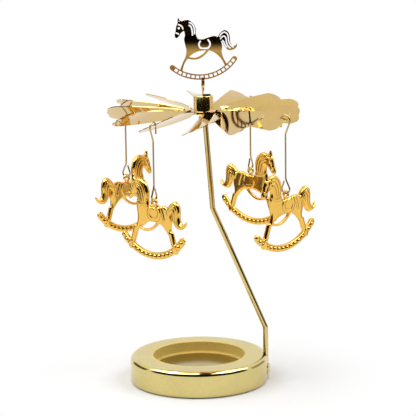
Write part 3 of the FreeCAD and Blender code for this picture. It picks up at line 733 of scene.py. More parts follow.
def figure_net(loops, holes, offsets, gap):
    """Flat net of a figure: points, triangles, rim edges and each point's distance from the rim."""
    points, edges = [], []
    for loop in loops + holes:
        start, count = len(points), len(loop)
        points += list(loop)
        edges += [(start + i, start + (i + 1) % count) for i in range(count)]
    spots, faces = triangulate(points, edges, loops, holes)
    rim = sorted(rim_edges(faces))
    used = sorted({i for edge in rim for i in edge})
    number = {old: new for new, old in enumerate(used)}
    spots = spots[used]
    rim = [(number[a], number[b]) for a, b in rim]
    inward = np.zeros_like(spots)
    for a, b in rim:
        dx, dz = spots[b] - spots[a]
        for i in (a, b):
            inward[i] += np.array((-dz, dx)) / max(math.hypot(dx, dz), LEAST_EDGE)
    inward /= np.maximum(np.linalg.norm(inward, axis=1), LEAST_NORMAL)[:, None]
    fill = []
    for offset in offsets:
        ring = spots + inward * offset
        fill.append(ring[nearest(ring, spots) > offset * RING_KEEP])
    if gap:
        low, high = spots.min(axis=0), spots.max(axis=0)
        rows = np.arange(low[1], high[1], gap * math.sqrt(3) / 2)
        columns = np.arange(low[0], high[0], gap)
        lattice = np.array([(x + (i % 2) * gap / 2, z) for i, z in enumerate(rows) for x in columns])
        lattice = lattice[inside(lattice, loops)]
        if holes:
            lattice = lattice[~inside(lattice, holes)]
        fill.append(lattice[nearest(lattice, spots) > offsets[-1] + gap / 2])
    points = np.concatenate([spots] + fill)
    net, faces = triangulate(points, rim, loops, holes)
    return net, faces, rim_edges(faces), nearest(net, spots)


def figure_mesh(name, net, faces, rim, heights):
    """Closed mesh of a figure in the XZ plane, with the same heights in front and behind."""
    count = len(net)
    front = [(x, -h, z) for (x, z), h in zip(net, heights)]
    back = [(x, h, z) for (x, z), h in zip(net, heights)]
    sides = [(a, a + count, b + count, b) for a, b in rim]
    faces = faces.tolist()
    turned = [[i + count for i in reversed(f)] for f in faces]
    return build_mesh(name, front + back, faces + turned + sides)


def line_distance(points, line):
    """Distance of every point from a chain of points."""
    best = np.full(len(points), np.inf)
    for a, b in zip(line, line[1:]):
        run = b - a
        share = np.clip(((points - a) @ run) / max(run @ run, LEAST_RUN), 0, 1)
        best = np.minimum(best, np.linalg.norm(points - a - share[:, None] * run, axis=1))
    return best


def dome(share):
    """Quarter circle from 0 at the rim to 1 inside."""
    return np.sqrt(1 - (1 - np.clip(share, 0, 1)) ** 2)


STRAND_GAP = 0.6 * MM
RELIEF_GAP = 0.16 * MM
RELIEF_RINGS = [0.02 * MM, 0.07 * MM, 0.15 * MM, 0.27 * MM]
EDGE_HALF, EDGE_ROUND = 0.25 * MM, 1.15 * MM
PLATE_HALF, RAISED_HALF = 0.86 * MM, 1.25 * MM
SWELL, SWELL_REACH = 0.12 * MM, 3.0 * MM
HAIR_SINK, SADDLE_STEP = 0.12 * MM, 0.14 * MM
EYELET_HALF, EYELET_RISE = 0.6 * MM, 2.1 * MM
EYELET_HOLE, EYELET_WALL = 1.0 * MM, 0.75 * MM
WIRE_SLACK = 0.3 * MM
SMOOTHING_ROUNDS = 1
# smoothing rounds and depth that mark the hollows for painted shade
HOLLOW_ROUNDS, HOLLOW_DEPTH = 8, 0.1 * MM
RUNNER_HALF, RUNNER_ROUND = 0.56 * MM, 0.45 * MM
RAIL_INSET, RAIL_HALF, RAIL_RISE = 7.7, 1.0, 0.36 * MM
BEAD_INSET, BEAD_LONG, BEAD_HIGH, BEAD_RISE = 3.6, 3.3, 3.0, 0.66 * MM
SCROLL_EYE, SCROLL_RISE = 3.4, 0.5 * MM


def even_out(heights, faces, fixed, rounds):
    """Average each height with its neighbours, as a cast surface is soft at its steps."""
    pairs = np.concatenate([faces[:, [0, 1]], faces[:, [1, 2]], faces[:, [2, 0]]])
    for _ in range(rounds):
        total, share = np.zeros(len(heights)), np.zeros(len(heights))
        for a, b in (pairs.T, pairs[:, ::-1].T):
            np.add.at(total, a, heights[b])
            np.add.at(share, a, 1)
        mixed = 0.5 * heights + 0.5 * total / np.maximum(share, 1)
        heights = np.where(fixed, heights, mixed)
    return heights


def horse_mesh(grid):
    """Moulded rocking horse in the XZ plane, with the wire's point in its eyelet at the origin."""
    saddle = np.array(SADDLE_TOP) * grid
    eye = saddle + (0, EYELET_RISE)
    ring = EYELET_HOLE + EYELET_WALL
    side, deep = ring / 2, PLATE_HALF * 2
    corners = ((-side, -deep), (side, -deep), (side, EYELET_RISE), (-side, EYELET_RISE))
    lug = straight_loop(saddle + corner for corner in corners)
    eyelet = ring_points(eye, ring)[:-1]
    body, tail, girth = (outline(part, grid) for part in (BODY, TAIL, GIRTH))
    figure = [body, tail] + [slot_loop(width, centre, grid) for width, centre in LEGS]
    runner = rocker_loops(grid)
    hole = ring_points(eye, EYELET_HOLE)[:-1]
    net, faces, rim, depth = figure_net(
        figure + runner + [girth, lug, eyelet], [hole], RELIEF_RINGS, RELIEF_GAP)

    broad = dome(depth / EDGE_ROUND)
    heights = EDGE_HALF + (PLATE_HALF - EDGE_HALF) * broad
    in_figure = inside(net, figure)
    in_runner = inside(net, runner)
    heights += np.where(in_figure, SWELL * dome(depth / SWELL_REACH), 0)
    thin = (inside(net, [girth]) | inside(net, [eyelet, lug])) & ~in_figure & ~in_runner
    heights = np.where(thin, np.minimum(heights, EYELET_HALF), heights)
    hair = strand_rise(net, MANE + TAIL_LOCKS, grid)
    on_hair = (hair > 0) | inside(net, [tail])
    raised = np.where(on_hair, hair - HAIR_SINK, strand_rise(net, HARNESS, grid))
    raised += np.where(inside(net, [outline(SADDLE, grid)]) & in_figure, SADDLE_STEP, 0)
    for radius, height, centre in BUMPS:
        share = np.linalg.norm(net - np.array(centre) * grid, axis=1) / (radius * grid)
        raised = np.maximum(raised, height * MM * dome(1 - share))
    heights += raised * broad
    heights = np.where(in_runner & ~in_figure, runner_heights(net, depth, grid), heights)
    heights = np.minimum(heights, RAISED_HALF)
    heights = even_out(heights, faces, depth < RELIEF_RINGS[0] / 2, SMOOTHING_ROUNDS)
    # painted shade: how far each point lies below its smoothed neighbours, kept to darken the colour in the
    # hollows
    mean = even_out(heights, faces, np.zeros(len(net), bool), HOLLOW_ROUNDS)
    hollow = np.clip((mean - heights) / HOLLOW_DEPTH, 0, 1) * np.clip(depth / EDGE_ROUND, 0, 1)
    net = net - (eye + (0, WIRE_SLACK))
    mesh = figure_mesh("horse", net, faces, rim, heights)
    store = mesh.attributes.new("hollow", "FLOAT", "POINT")
    store.data.foreach_set("value", np.tile(hollow, 2))
    mesh.shade_smooth()
    return mesh


def strand_rise(net, strands, grid):
    """Height of round strands along their centre lines."""
    rise = np.zeros(len(net))
    for width, height, centre in strands:
        line = smooth_line(np.array(centre) * grid, STRAND_GAP)
        share = line_distance(net, line) / (width * grid)
        rise = np.maximum(rise, height * MM * dome(1 - share))
    return rise


def runner_heights(net, depth, grid):
    """Runner with a plain rail along its upper edge and a row of beads below."""
    spread = net - np.array(ROCKER_CENTRE) * grid
    radius = np.linalg.norm(spread, axis=1) / grid
    angle = np.degrees(np.arctan2(spread[:, 0], -spread[:, 1]))
    rail = dome(1 - np.abs(radius - ROCKER_RADIUS + RAIL_INSET) / RAIL_HALF)
    step = (RUNG_SPAN[1] - RUNG_SPAN[0]) / (RUNG_COUNT - 1)
    nearest_rung = np.clip(np.round((angle - RUNG_SPAN[0]) / step), 0, RUNG_COUNT - 1)
    along = np.radians(angle - RUNG_SPAN[0] - nearest_rung * step) * radius
    bead = np.hypot(along / BEAD_LONG, (radius - ROCKER_RADIUS + BEAD_INSET) / BEAD_HIGH)
    flat = EDGE_HALF + (RUNNER_HALF - EDGE_HALF) * dome(depth / RUNNER_ROUND)
    front = np.array(rocker_point(ROCKER_SPAN[0], ROCKER_RADIUS - ROCKER_BAND / 2)) * grid
    scroll = np.linalg.norm(net - front, axis=1) / (SCROLL_EYE * grid)
    rise = np.maximum(RAIL_RISE * rail, BEAD_RISE * dome(1 - bead))
    rise = np.maximum(rise, SCROLL_RISE * dome(1 - scroll))
    return flat + rise * dome(depth / RUNNER_ROUND)


PLATE_BEVEL = 0.02 * MM


def plate_mesh(name, loops, holes, thickness, gap=0.0):
    """Flat stamped plate in the XZ plane with a fine bevel along every edge."""
    net, faces, rim, depth = figure_net(loops, holes, [PLATE_BEVEL], gap)
    half = thickness / 2
    heights = np.where(depth < PLATE_BEVEL / 2, half - PLATE_BEVEL, half)
    return figure_mesh(name, net, faces, rim, heights)


HEM_WIDTH, HEM_RADIUS = 3.0 * MM, 1.6 * MM
TURNED_PITCH = 0.16 * MM
WELL_CORNER, WELL_LIP = 0.9 * MM, 0.4 * MM
POST_INSET = 0.8 * MM
NOTCH_CLEARANCE = 0.1 * MM
# roughness of the brushed zones: the well's floor, its wall and the flat ring, by offset from the wall
WELL_SATIN = ((-1.6 * MM, 0.03), (-0.8 * MM, 0.75), (0.5 * MM, 0.75), (1.0 * MM, 0.2))
SATIN_FADE = 0.5 * MM
# painted light and shade on the same zones: the well's floor darkened and its wall lightened, standing in
# for what they reflect
WELL_PAINTED_SHADING = ((-1.6 * MM, 0.66), (-0.8 * MM, 1.16), (0.4 * MM, 1.16), (1.0 * MM, 1.0))


class CAROUSEL_OT_base(Operator):
    """Turn the pressed base and cut the notch for the post"""

    bl_idname = "carousel.base"
    bl_label = "Base"

    def execute(self, context):
        s = sizes()
        outer, top, skin, round_ = s.base_radius, s.base_height, s.base_sheet, s.shoulder
        well, floor = s.well_radius, top - s.well_depth
        hem, rim = (outer - HEM_RADIUS, HEM_RADIUS), (outer - round_, top - round_)
        corner, lip = (well - WELL_CORNER, floor + WELL_CORNER), (well + WELL_LIP, top - WELL_LIP)
        section = [(outer - HEM_WIDTH, 0)]
        section += arc(hem, HEM_RADIUS, -90, 0)
        section += arc(rim, round_, 0, 90, ARC_STEPS * 2)
        section += arc(lip, WELL_LIP, 90, 180)
        section += arc(corner, WELL_CORNER, 0, -90)
        section += [(0, floor), (0, floor - skin)]
        section += arc(corner, WELL_CORNER + skin, -90, 0)
        section += [(well + skin, top - skin)]
        section += arc(rim, round_ - skin, 90, 0)
        section += arc(hem, HEM_RADIUS - skin, 0, -90)
        section += [(outer - HEM_WIDTH, skin)]
        shell = add_object("shell_blank", lathe("base", section))
        half = s.post_radius + NOTCH_CLEARANCE
        inner = outer - POST_INSET - half
        notch = box_mesh("notch", (inner, inner + half * 4), (-half, half), (skin, top * 2))
        cutter = add_object("notch", notch)
        cut = shell.modifiers.new("notch", "BOOLEAN")
        cut.operation, cut.solver, cut.object = "DIFFERENCE", "EXACT", cutter
        mesh = soften(bake_modifiers(shell), BASE_CREASE)
        bpy.data.objects.remove(cutter)
        brushed = [(well + offset, value) for offset, value in WELL_SATIN]
        brushed += [(outer - round_ - SATIN_FADE, WELL_SATIN[-1][1]), (outer - round_, 0.0)]
        # painted light and shade: a darker well floor and a lighter well wall
        painted_shading = [(well + offset, shade) for offset, shade in WELL_PAINTED_SHADING]
        gold = metal("satin_base_gold", finishes().base_gold, **GLOSS["base"],
                     grain=turned_lines(TURNED_PITCH), satin=rings(brushed), painted_shading=rings(painted_shading))
        place_piece("base", mesh, gold, "stand", "base_shell")
        return {"FINISHED"}


KNEE_HEIGHT, ELBOW_OUT, ELBOW_HEIGHT = 23.3 * MM, 3.5 * MM, 76.4 * MM
NEEDLE_TIP = 0.12 * MM
ROD_SIDES, ROD_PITCH = 64, 0.25 * MM
STRAP_BEVEL, STRAP_STEPS = 0.06 * MM, 2


class CAROUSEL_OT_post(Operator):
    """Sweep the bent rod up to its needle, and dress the strap at its foot"""

    bl_idname = "carousel.post"
    bl_label = "Post and strap"

    def execute(self, context):
        s = sizes()
        foot = s.base_radius - POST_INSET
        corners = [(foot, s.base_sheet), (foot, KNEE_HEIGHT), (SPIN.x + ELBOW_OUT, ELBOW_HEIGHT),
                   (SPIN.x, POST_TOP)]
        path = fillet(corners, s.post_bend)
        lean = (path[-1] - path[-2]).normalized()
        tip = path.pop()
        path.append(tip - lean * s.needle_length)
        points = [(p.x, 0.0, p.y) for p in path + [tip]]
        radii = [1.0] * len(path) + [NEEDLE_TIP / s.post_radius]
        gold = metal("bright_post_gold", finishes().post_gold, **GLOSS["post"], grain=drawn_lines(ROD_PITCH))
        rod = soften(swept("bent_post", points, radii, s.post_radius, ROD_SIDES, gold), ROD_CREASE)
        place_piece("bent_post", rod, gold, "stand", "post")
        blank = add_object("strap_blank", node_copy("post_socket"))
        edge = blank.modifiers.new("edge", "BEVEL")
        edge.width, edge.segments, edge.limit_method = STRAP_BEVEL, STRAP_STEPS, "ANGLE"
        strap = soften(bake_modifiers(blank), STRAP_CREASE)
        place_piece("post_strap", strap, gold, "stand", "post_socket")
        return {"FINISHED"}


DISC_RADIUS, DISC_HOLE = 7.0 * MM, 2.6 * MM
NECK_WIDTH, NECK_TAB, NECK_LENGTH, ROOT_WIDTH = 3.0 * MM, 0.4 * MM, 2.3 * MM, 4.2 * MM
BLADE_SHOULDER, LOBE_WIDTH, LOBE_RISE, CORNER_RISE = 4.4 * MM, 6.2 * MM, 0.9 * MM, 1.9 * MM
HOOK_HOLE, HOOK_BRIDGE, HOOK_STEPS = 0.9 * MM, 2.4 * MM, 32
BLADES_PER_HANGER = 3
NECK_STEPS = 10
BLADE_GAP = 1.0 * MM


def bulge(start, end, rise):
    """Arc from start to end that stands out to the right of the chord by a rise."""
    start, end = Vector(start), Vector(end)
    chord = end - start
    radius = (chord.length**2 / 4 + rise**2) / (2 * rise)
    left = Vector((-chord.y, chord.x)).normalized()
    centre = start + chord / 2 + left * (radius - rise)
    a, b = (math.degrees(math.atan2(p.y - centre.y, p.x - centre.x)) for p in (start, end))
    return np.array(arc(centre, radius, a, b if b > a else b + 360))[:-1]


def blade_mesh(s, drilled):
    """One blade along +X: scalloped plate, twisted neck and flat tab."""
    root = DISC_RADIUS + NECK_LENGTH
    wide, narrow = s.blade_width / 2, ROOT_WIDTH / 2
    side, valley, lobe = s.blade_tip - BLADE_SHOULDER, s.blade_tip - LOBE_RISE, LOBE_WIDTH / 2

    def edge(start, end):
        return smooth_line([start, end], BLADE_GAP)[:-1]

    loop = np.concatenate([
        edge((root, narrow), (root, -narrow)),
        edge((root, -narrow), (side, -wide)),
        bulge((side, -wide), (valley, -lobe), CORNER_RISE),
        bulge((valley, -lobe), (valley, lobe), LOBE_RISE),
        bulge((valley, lobe), (side, wide), CORNER_RISE),
        edge((side, wide), (root, narrow)),
    ])
    holes = []
    if drilled:
        spot = (s.blade_tip - HOOK_BRIDGE - HOOK_HOLE, 0)
        holes.append(np.array(arc(spot, HOOK_HOLE, 0, 360, HOOK_STEPS))[:-1])
    plate = plate_mesh("blade_plate", [loop], holes, s.rotor_sheet, BLADE_GAP)
    plate.transform(Matrix.Rotation(math.radians(-90), 4, "X"))
    for vertex in plate.vertices:
        inward = (s.blade_tip - vertex.co.x) / (s.blade_tip - root)
        vertex.co = Matrix.Rotation(s.blade_pitch + s.blade_twist * inward, 3, "X") @ vertex.co
    start = DISC_RADIUS + NECK_TAB
    stations = [(DISC_RADIUS - NECK_WIDTH, NECK_WIDTH, 0.0)]
    for i in range(NECK_STEPS + 1):
        share = i / NECK_STEPS
        width = NECK_WIDTH + (ROOT_WIDTH - NECK_WIDTH) * share
        stations.append((start + (root - start) * share, width, (s.blade_pitch + s.blade_twist) * share))
    return join("blade", plate, strip_mesh("blade_neck", stations, s.rotor_sheet))


def blade_ring_tree():
    """Geometry nodes that set blades round the axis, with some drilled for a hanger at even steps."""
    sockets = (("Drilled Blade", "Object"), ("Plain Blade", "Object"), ("Blade Count", "Int"),
               ("Blades per Hanger", "Int"), ("Material", "Material"))
    graph, (disc, drilled, plain, count, every, coat), keys = new_tree("blade_ring", sockets)
    seats = graph.add("GeometryNodeMeshCircle", None, {"Vertices": count, "Radius": 0.0})
    index = graph.add("GeometryNodeInputIndex")
    turn = index.maths("DIVIDE", index * (2 * math.pi), count)
    angles = graph.add("ShaderNodeCombineXYZ", None, {"Z": turn})
    rotation = graph.add("FunctionNodeEulerToRotation", None, {"Euler": angles})
    first = 1 - index.maths("MODULO", index, every)
    parts = [disc]
    for blade, chosen in ((drilled, first), (plain, 1 - first)):
        shape = graph.add("GeometryNodeObjectInfo", None, {"Object": blade}, "Geometry")
        inputs = {"Points": seats, "Selection": chosen, "Instance": shape, "Rotation": rotation}
        parts.append(graph.add("GeometryNodeInstanceOnPoints", None, inputs))
    joined = graph.tree.nodes.new("GeometryNodeJoinGeometry")
    for part in parts:
        graph.tree.links.new(part.socket, joined.inputs[0])
    close_tree(graph, Value(graph, joined.outputs[0]), coat)
    return graph, keys


def first_blade_azimuth():
    pivot = Vector(JOINTS["hanger_back_right_swing"]["pos_m"])
    return math.atan2(pivot.y - SPIN.y, pivot.x - SPIN.x)


HUB_SKIN, HUB_EDGE, BRIM_EDGE, BRIM_STEPS = 0.45 * MM, 0.5 * MM, 0.12 * MM, 4
HUB_PITCH = 0.8 * MM


class CAROUSEL_OT_rotor(Operator):
    """Set the blades round the disc, and add the hub and its bearing"""

    bl_idname = "carousel.rotor"
    bl_label = "Rotor and hub"

    def execute(self, context):
        s = sizes()
        gold = metal("bright_rotor_gold", finishes().rotor_gold, **GLOSS["rotor"])
        half = s.rotor_sheet / 2
        ring = [(DISC_HOLE, -half), (DISC_RADIUS, -half), (DISC_RADIUS, half), (DISC_HOLE, half)]
        disc = add_object("rotor_blank", lathe("rotor", ring))
        drilled = add_object("drilled_blade", blade_mesh(s, True))
        plain = add_object("plain_blade", blade_mesh(s, False))
        settings = {"Drilled Blade": drilled, "Plain Blade": plain, "Blade Count": s.blade_count,
                    "Blades per Hanger": BLADES_PER_HANGER, "Material": gold}
        mesh = run_tree(disc, *blade_ring_tree(), settings)
        for blade in (drilled, plain):
            bpy.data.objects.remove(blade)
        turn = Matrix.Rotation(first_blade_azimuth(), 4, "Z")
        mesh.transform(Matrix.Translation((SPIN.x, SPIN.y, ROTOR_Z)) @ turn)
        place_piece("rotor_blades", soften(mesh, SHEET_CREASE), gold, "rotor", "rotor")

        brim, top, skin = HUB_HIGH.x - SPIN.x, HUB_HIGH.z - HUB_LOW.z, HUB_SKIN
        outer, edge, fine = s.hub_radius, HUB_EDGE, BRIM_EDGE
        section = [(outer - skin, 0)]
        section += arc((brim - fine, fine), fine, -90, 0, BRIM_STEPS)
        section += arc((brim - fine, skin - fine), fine, 0, 90, BRIM_STEPS)
        section += arc((outer + fine, skin + fine), fine, 270, 180, BRIM_STEPS)
        section += arc((outer - edge, top - edge), edge, 0, 90)
        section += [(0, top), (0, top - skin), (outer - skin, top - skin)]
        hub = soften(lathe("hub", section, (SPIN.x, SPIN.y), HUB_LOW.z), HUB_CREASE)
        shine = metal("bright_hub_gold", finishes().hub_gold, **GLOSS["hub"], grain=drawn_lines(HUB_PITCH))
        place_piece("hub", hub, shine, "rotor", "hub_cap")
        seat = soften(node_copy("pivot_seat"), SEAT_CREASE)
        place_piece("pivot_bearing", seat, shine, "rotor", "pivot_seat")
        return {"FINISHED"}


STEM_WIDTH, STEM_LENGTH, STEM_FOOT, STEM_STEPS = 1.3 * MM, 6.6 * MM, 3.4 * MM, 32
STEM_SINK, STEM_TURN = 1.0 * MM, math.radians(90)


def stem_mesh(thickness):
    """Strip that turns by a quarter on its way down from the figure, and a foot on the hub."""
    half = thickness / 2
    stations = [(STEM_LENGTH + STEM_SINK, STEM_WIDTH, 0.0)]
    for i in range(STEM_STEPS + 1):
        share = i / STEM_STEPS
        stations.append((STEM_LENGTH - (STEM_LENGTH - half) * share, STEM_WIDTH, STEM_TURN * share))
    stem = strip_mesh("stem", stations, thickness, upright=True)
    side = STEM_WIDTH / 2
    foot = box_mesh("foot", (-half, STEM_FOOT - half), (-side, side), (0, thickness))
    return join("stem_and_foot", stem, foot)


class CAROUSEL_OT_topper(Operator):
    """Stamp the flat horse with its slots and stand it on its twisted stem"""

    bl_idname = "carousel.topper"
    bl_label = "Flat horse on top"

    def execute(self, context):
        s = sizes()
        grid = s.topper_height / FIGURE_GRID
        loops = [outline(part, grid) for part in (BODY, TAIL, GIRTH)] + rocker_loops(grid)
        holes = [slot_loop(width, centre, grid) for width, centre in SLOTS] + rung_loops(grid)
        holes += [ring_points(np.array(spot) * grid, r * grid)[:-1] for r, spot in HOLES]
        figure = plate_mesh("flat_horse", loops, holes, s.topper_sheet)
        figure.transform(Matrix.Translation((0, 0, STEM_LENGTH)))
        mesh = join("flat_horse", figure, stem_mesh(s.topper_sheet))
        mesh.transform(Matrix.Translation((SPIN.x, SPIN.y, HUB_HIGH.z)))
        gold = metal("mirror_topper_gold", finishes().topper_gold, **GLOSS["topper"])
        place_piece("flat_horse", soften(mesh, SHEET_CREASE), gold, "rotor", "topper")
        return {"FINISHED"}


HOOK_RADIUS, HOOK_TAIL, HOOK_FLARE = 2.1494 * MM, 3.0 * MM, 22.0
HANGER_DROP, LOOP_RADIUS, LOOP_TAIL = 31.0 * MM, 1.85 * MM, 3.0 * MM
LOOP_FLARE, LOOP_CLOSE = 25.0, 20.0
WIRE_BEND, WIRE_SIDES = 3.0 * MM, 24


def hanger_path():
    """Wire's centre line in its own plane: across outwards, up from the hook's centre."""
    flare, loop, close = (math.radians(a) for a in (HOOK_FLARE, LOOP_FLARE, LOOP_CLOSE))
    end = (HOOK_RADIUS * math.cos(flare), -HOOK_RADIUS * math.sin(flare))
    upper = (0.0, end[1] - end[0] / math.tan(flare))
    middle = LOOP_RADIUS - HANGER_DROP
    start = (LOOP_RADIUS * math.cos(loop), middle + LOOP_RADIUS * math.sin(loop))
    lower = (0.0, start[1] + start[0] / math.tan(loop))
    path = [(-HOOK_RADIUS, -HOOK_TAIL)] + arc((0, 0), HOOK_RADIUS, 180, -HOOK_FLARE, ARC_STEPS * 3)[:-1]
    path += [tuple(p) for p in fillet([end, upper, lower, start], WIRE_BEND)][:-1]
    path += arc((0, middle), LOOP_RADIUS, LOOP_FLARE, -180 - LOOP_CLOSE, ARC_STEPS * 3)
    last = path[-1]
    return path + [(last[0] + math.sin(close) * LOOP_TAIL, last[1] + math.cos(close) * LOOP_TAIL)]


class CAROUSEL_OT_hangers(Operator):
    """Bend the wire hangers"""

    bl_idname = "carousel.hangers"
    bl_label = "Hangers"

    def execute(self, context):
        gold = metal("bright_wire_gold", finishes().wire_gold, **GLOSS["wire"])
        path = hanger_path()
        for place in PLACES:
            pivot = Vector(JOINTS[f"hanger_{place}_swing"]["pos_m"])
            out = Vector((pivot.x - SPIN.x, pivot.y - SPIN.y, 0)).normalized()
            points = [pivot + out * x + Vector((0, 0, z)) for x, z in path]
            name, piece = f"hanger_{place}", f"wire_{place}"
            mesh = swept(piece, points, [1.0] * len(points), sizes().wire_radius, WIRE_SIDES, gold)
            place_piece(piece, soften(mesh, WIRE_CREASE), gold, name, name)
        return {"FINISHED"}


class CAROUSEL_OT_horses(Operator):
    """Mould the hanging horses"""

    bl_idname = "carousel.horses"
    bl_label = "Hanging horses"

    def execute(self, context):
        # the hollows of the relief get painted shade
        gold = metal("deep_horse_gold", finishes().horse_gold, **GLOSS["horse"], painted_shade="hollow")
        pattern = horse_mesh(sizes().horse_height / FIGURE_GRID)
        lean = Matrix.Rotation(math.radians(HORSE_LEAN), 4, "Y")
        for place in PLACES:
            name = f"horse_{place}"
            joint = JOINTS[f"{name}_rock"]
            yaw = math.atan2(-joint["axis"][0], joint["axis"][1])
            mesh = pattern.copy()
            mesh.transform(Matrix.Translation(joint["pos_m"]) @ Matrix.Rotation(yaw, 4, "Z") @ lean)
            place_piece(f"rocking_{place}", mesh, gold, name, name)
        bpy.data.meshes.remove(pattern)
        return {"FINISHED"}


CAMERA_SPOT = (4.75 * MM, -850 * MM, 251.8 * MM)
CAMERA_PITCH, CAMERA_ROLL = 11.64, -0.75
FOCAL_PIXELS, IMAGE_PIXELS, SENSOR = 2013.0, 416.0, 36.0
CLIP_START = 0.01


def add_camera(context):
    camera = add_object("camera", bpy.data.cameras.new("camera"))
    camera.data.sensor_width = SENSOR
    camera.data.lens = SENSOR * FOCAL_PIXELS / IMAGE_PIXELS
    camera.data.clip_start = CLIP_START
    tilt = Matrix.Rotation(math.radians(90 - CAMERA_PITCH), 4, "X")
    roll = Matrix.Rotation(math.radians(CAMERA_ROLL), 4, "Z")
    camera.matrix_world = Matrix.Translation(CAMERA_SPOT) @ tilt @ roll
    context.scene.camera = camera


SKY_FILL = 0.6
SOFTBOX_RADIANCE = 4.0
SOFTBOXES = (
    ("left_softbox", (-0.7, -0.22, 1.05), (1.38, 1.05)),
    ("right_softbox", (0.93, -0.22, 1.05), (1.15, 1.05)),
)
FLOOR_REACH = 3.0
FLOOR_ALBEDO, FLOOR_SPREAD = 0.62, 0.01
FLOOR_NEAR = (0.034, 0.09)
# places on a noise for the darker and the paler shade, and the scale and detail of each noise
MOTTLE_SPAN = (0.3, 0.7)
PAPER_GRAIN, ROOM_GRAIN, CARD_GRAIN = (40.0, 3.0), (6.0, 2.0), (25.0, 2.0)
ROOM_DARK, ROOM_PALE = (0.004, 0.0035, 0.003), (0.014, 0.012, 0.01)
CARD_WARMTH, CARD_SPREAD = (1.0, 0.9, 0.8), 0.2
# what reflections see of the floor: white at the left, and shades from far in front up to the object
FLOOR_SIDE = (-0.12, -0.06)
FLOOR_DEPTH = (-1.4, 0.0)
FLOOR_SHADES = (
    (-1.215, (0.0, 0.0, 0.0)),
    (-1.15, (0.74, 0.64, 0.44)),
    (-1.04, (0.4, 0.31, 0.19)),
    (-0.93, (0.42, 0.25, 0.2)),
    (-0.87, (0.06, 0.04, 0.02)),
    (-0.8, (0.06, 0.04, 0.02)),
    (-0.74, (0.2, 0.12, 0.05)),
    (-0.42, (0.2, 0.12, 0.05)),
    (-0.3, (1.0, 1.0, 1.0)),
)
BOOM_X, BOOM_Y, BOOM_Z, BOOM_SHADE = (0.0, 0.34), (-0.95, 0.02), 1.03, 0.02
FLAG_Y, FLAG_HEIGHT = (0.005, 0.2), 0.1
FLAGS = (
    ("left_flag", -0.2, 0.12),
    ("right_flag", 0.2, 0.45),
)
ROOM_RADIUS, ROOM_FOOT, ROOM_HEIGHT, ROOM_SPAN, ROOM_STEPS = 1.3, -0.01, 1.5, (-175.0, -5.0), 24


def add_softbox(name, spot, size):
    """Flat lamp overhead that shines straight down."""
    lamp = bpy.data.lights.new(name, "AREA")
    lamp.shape, lamp.size, lamp.size_y = "RECTANGLE", *size
    lamp.energy = SOFTBOX_RADIANCE * math.pi * size[0] * size[1]
    holder = add_object(name, lamp)
    holder.location = spot
    holder.visible_camera = False


def light_path(graph, ray):
    return graph.add("ShaderNodeLightPath", None, None, ray)


def mottle(graph, grain, dark, pale):
    """Cloudy mix of two shades."""
    cloud = noise(graph, object_place(graph), *grain)
    return shades(graph, cloud, list(zip(MOTTLE_SPAN, (dark, pale))))


def add_backdrop(name, points, faces, material, reflected_only=True):
    """Stage surface, which reflections alone see unless it is told otherwise."""
    backdrop = add_object(name, build_mesh(name, points, faces))
    backdrop.data.materials.append(material)
    if reflected_only:
        backdrop.visible_camera = backdrop.visible_diffuse = False
        backdrop.visible_shadow = backdrop.visible_transmission = False


def add_floor():
    """White paper: lit paint round the object, even white farther off, and dim far in front."""
    white, graph = new_material("white_floor")
    place = object_place(graph)
    greys = ((FLOOR_ALBEDO + change,) * 3 for change in (-FLOOR_SPREAD, FLOOR_SPREAD))
    pale = mottle(graph, PAPER_GRAIN, *(tint(grey) for grey in greys))
    paint = graph.add("ShaderNodeBsdfDiffuse", None, {"Color": pale})
    far = ramp(graph, vector_maths(graph, "LENGTH", place, output="Value"), *FLOOR_NEAR)
    start, end = FLOOR_DEPTH
    inputs = {"Value": axis_part(graph, place, "Y"), "From Min": start, "From Max": end}
    along = graph.add("ShaderNodeMapRange", None, inputs)
    dim = shades(graph, along, [((y - start) / (end - start), tint(hue)) for y, hue in FLOOR_SHADES])
    shade = mix(graph, ramp(graph, axis_part(graph, place, "X"), *FLOOR_SIDE), WHITE, dim)
    camera, glossy = light_path(graph, "Is Camera Ray"), light_path(graph, "Is Glossy Ray")
    glow = graph.add("ShaderNodeEmission", None, {"Color": mix(graph, camera, shade, WHITE)})
    seen = (camera + glossy) * far
    close_material(graph, graph.add("ShaderNodeMixShader", None, {0: seen, 1: paint, 2: glow}))
    corners = [(x * FLOOR_REACH, y * FLOOR_REACH, 0) for x, y in STRIP_CORNERS]
    add_backdrop("floor", corners, [(0, 1, 2, 3)], white, reflected_only=False)


def add_room():
    """Dark room round the camera."""
    dark, graph = new_material("dark_room")
    black = mottle(graph, ROOM_GRAIN, tint(ROOM_DARK), tint(ROOM_PALE))
    close_material(graph, graph.add("ShaderNodeBsdfDiffuse", None, {"Color": black}))
    rim = arc((0, 0), ROOM_RADIUS, *ROOM_SPAN, ROOM_STEPS)
    points = [(x, y, z) for x, y in rim for z in (ROOM_FOOT, ROOM_HEIGHT)]
    walls = [(2 * i, 2 * i + 2, 2 * i + 3, 2 * i + 1) for i in range(ROOM_STEPS)]
    add_backdrop("dark_room", points, walls, dark)


def add_card(name, corners, shade):
    """Card with a warm grey of its own."""
    cloth, graph = new_material(name)
    warm = [shade * share for share in CARD_WARMTH]
    weave = mottle(graph, CARD_GRAIN, tint(warm, 1.0 - CARD_SPREAD), tint(warm, 1.0 + CARD_SPREAD))
    close_material(graph, graph.add("ShaderNodeEmission", None, {"Color": weave}))
    add_backdrop(name, corners, [(0, 1, 2, 3)], cloth)


def add_cards():
    """Flags at both sides of the object and a dark boom between the lamps."""
    near, far = FLAG_Y
    for name, x, shade in FLAGS:
        corners = [(x, near, 0), (x, far, 0), (x, far, FLAG_HEIGHT), (x, near, FLAG_HEIGHT)]
        add_card(name, corners, shade)
    (left, right), (front, back) = BOOM_X, BOOM_Y
    corners = [(left, front, BOOM_Z), (right, front, BOOM_Z), (right, back, BOOM_Z), (left, back, BOOM_Z)]
    add_card("boom", corners, BOOM_SHADE)


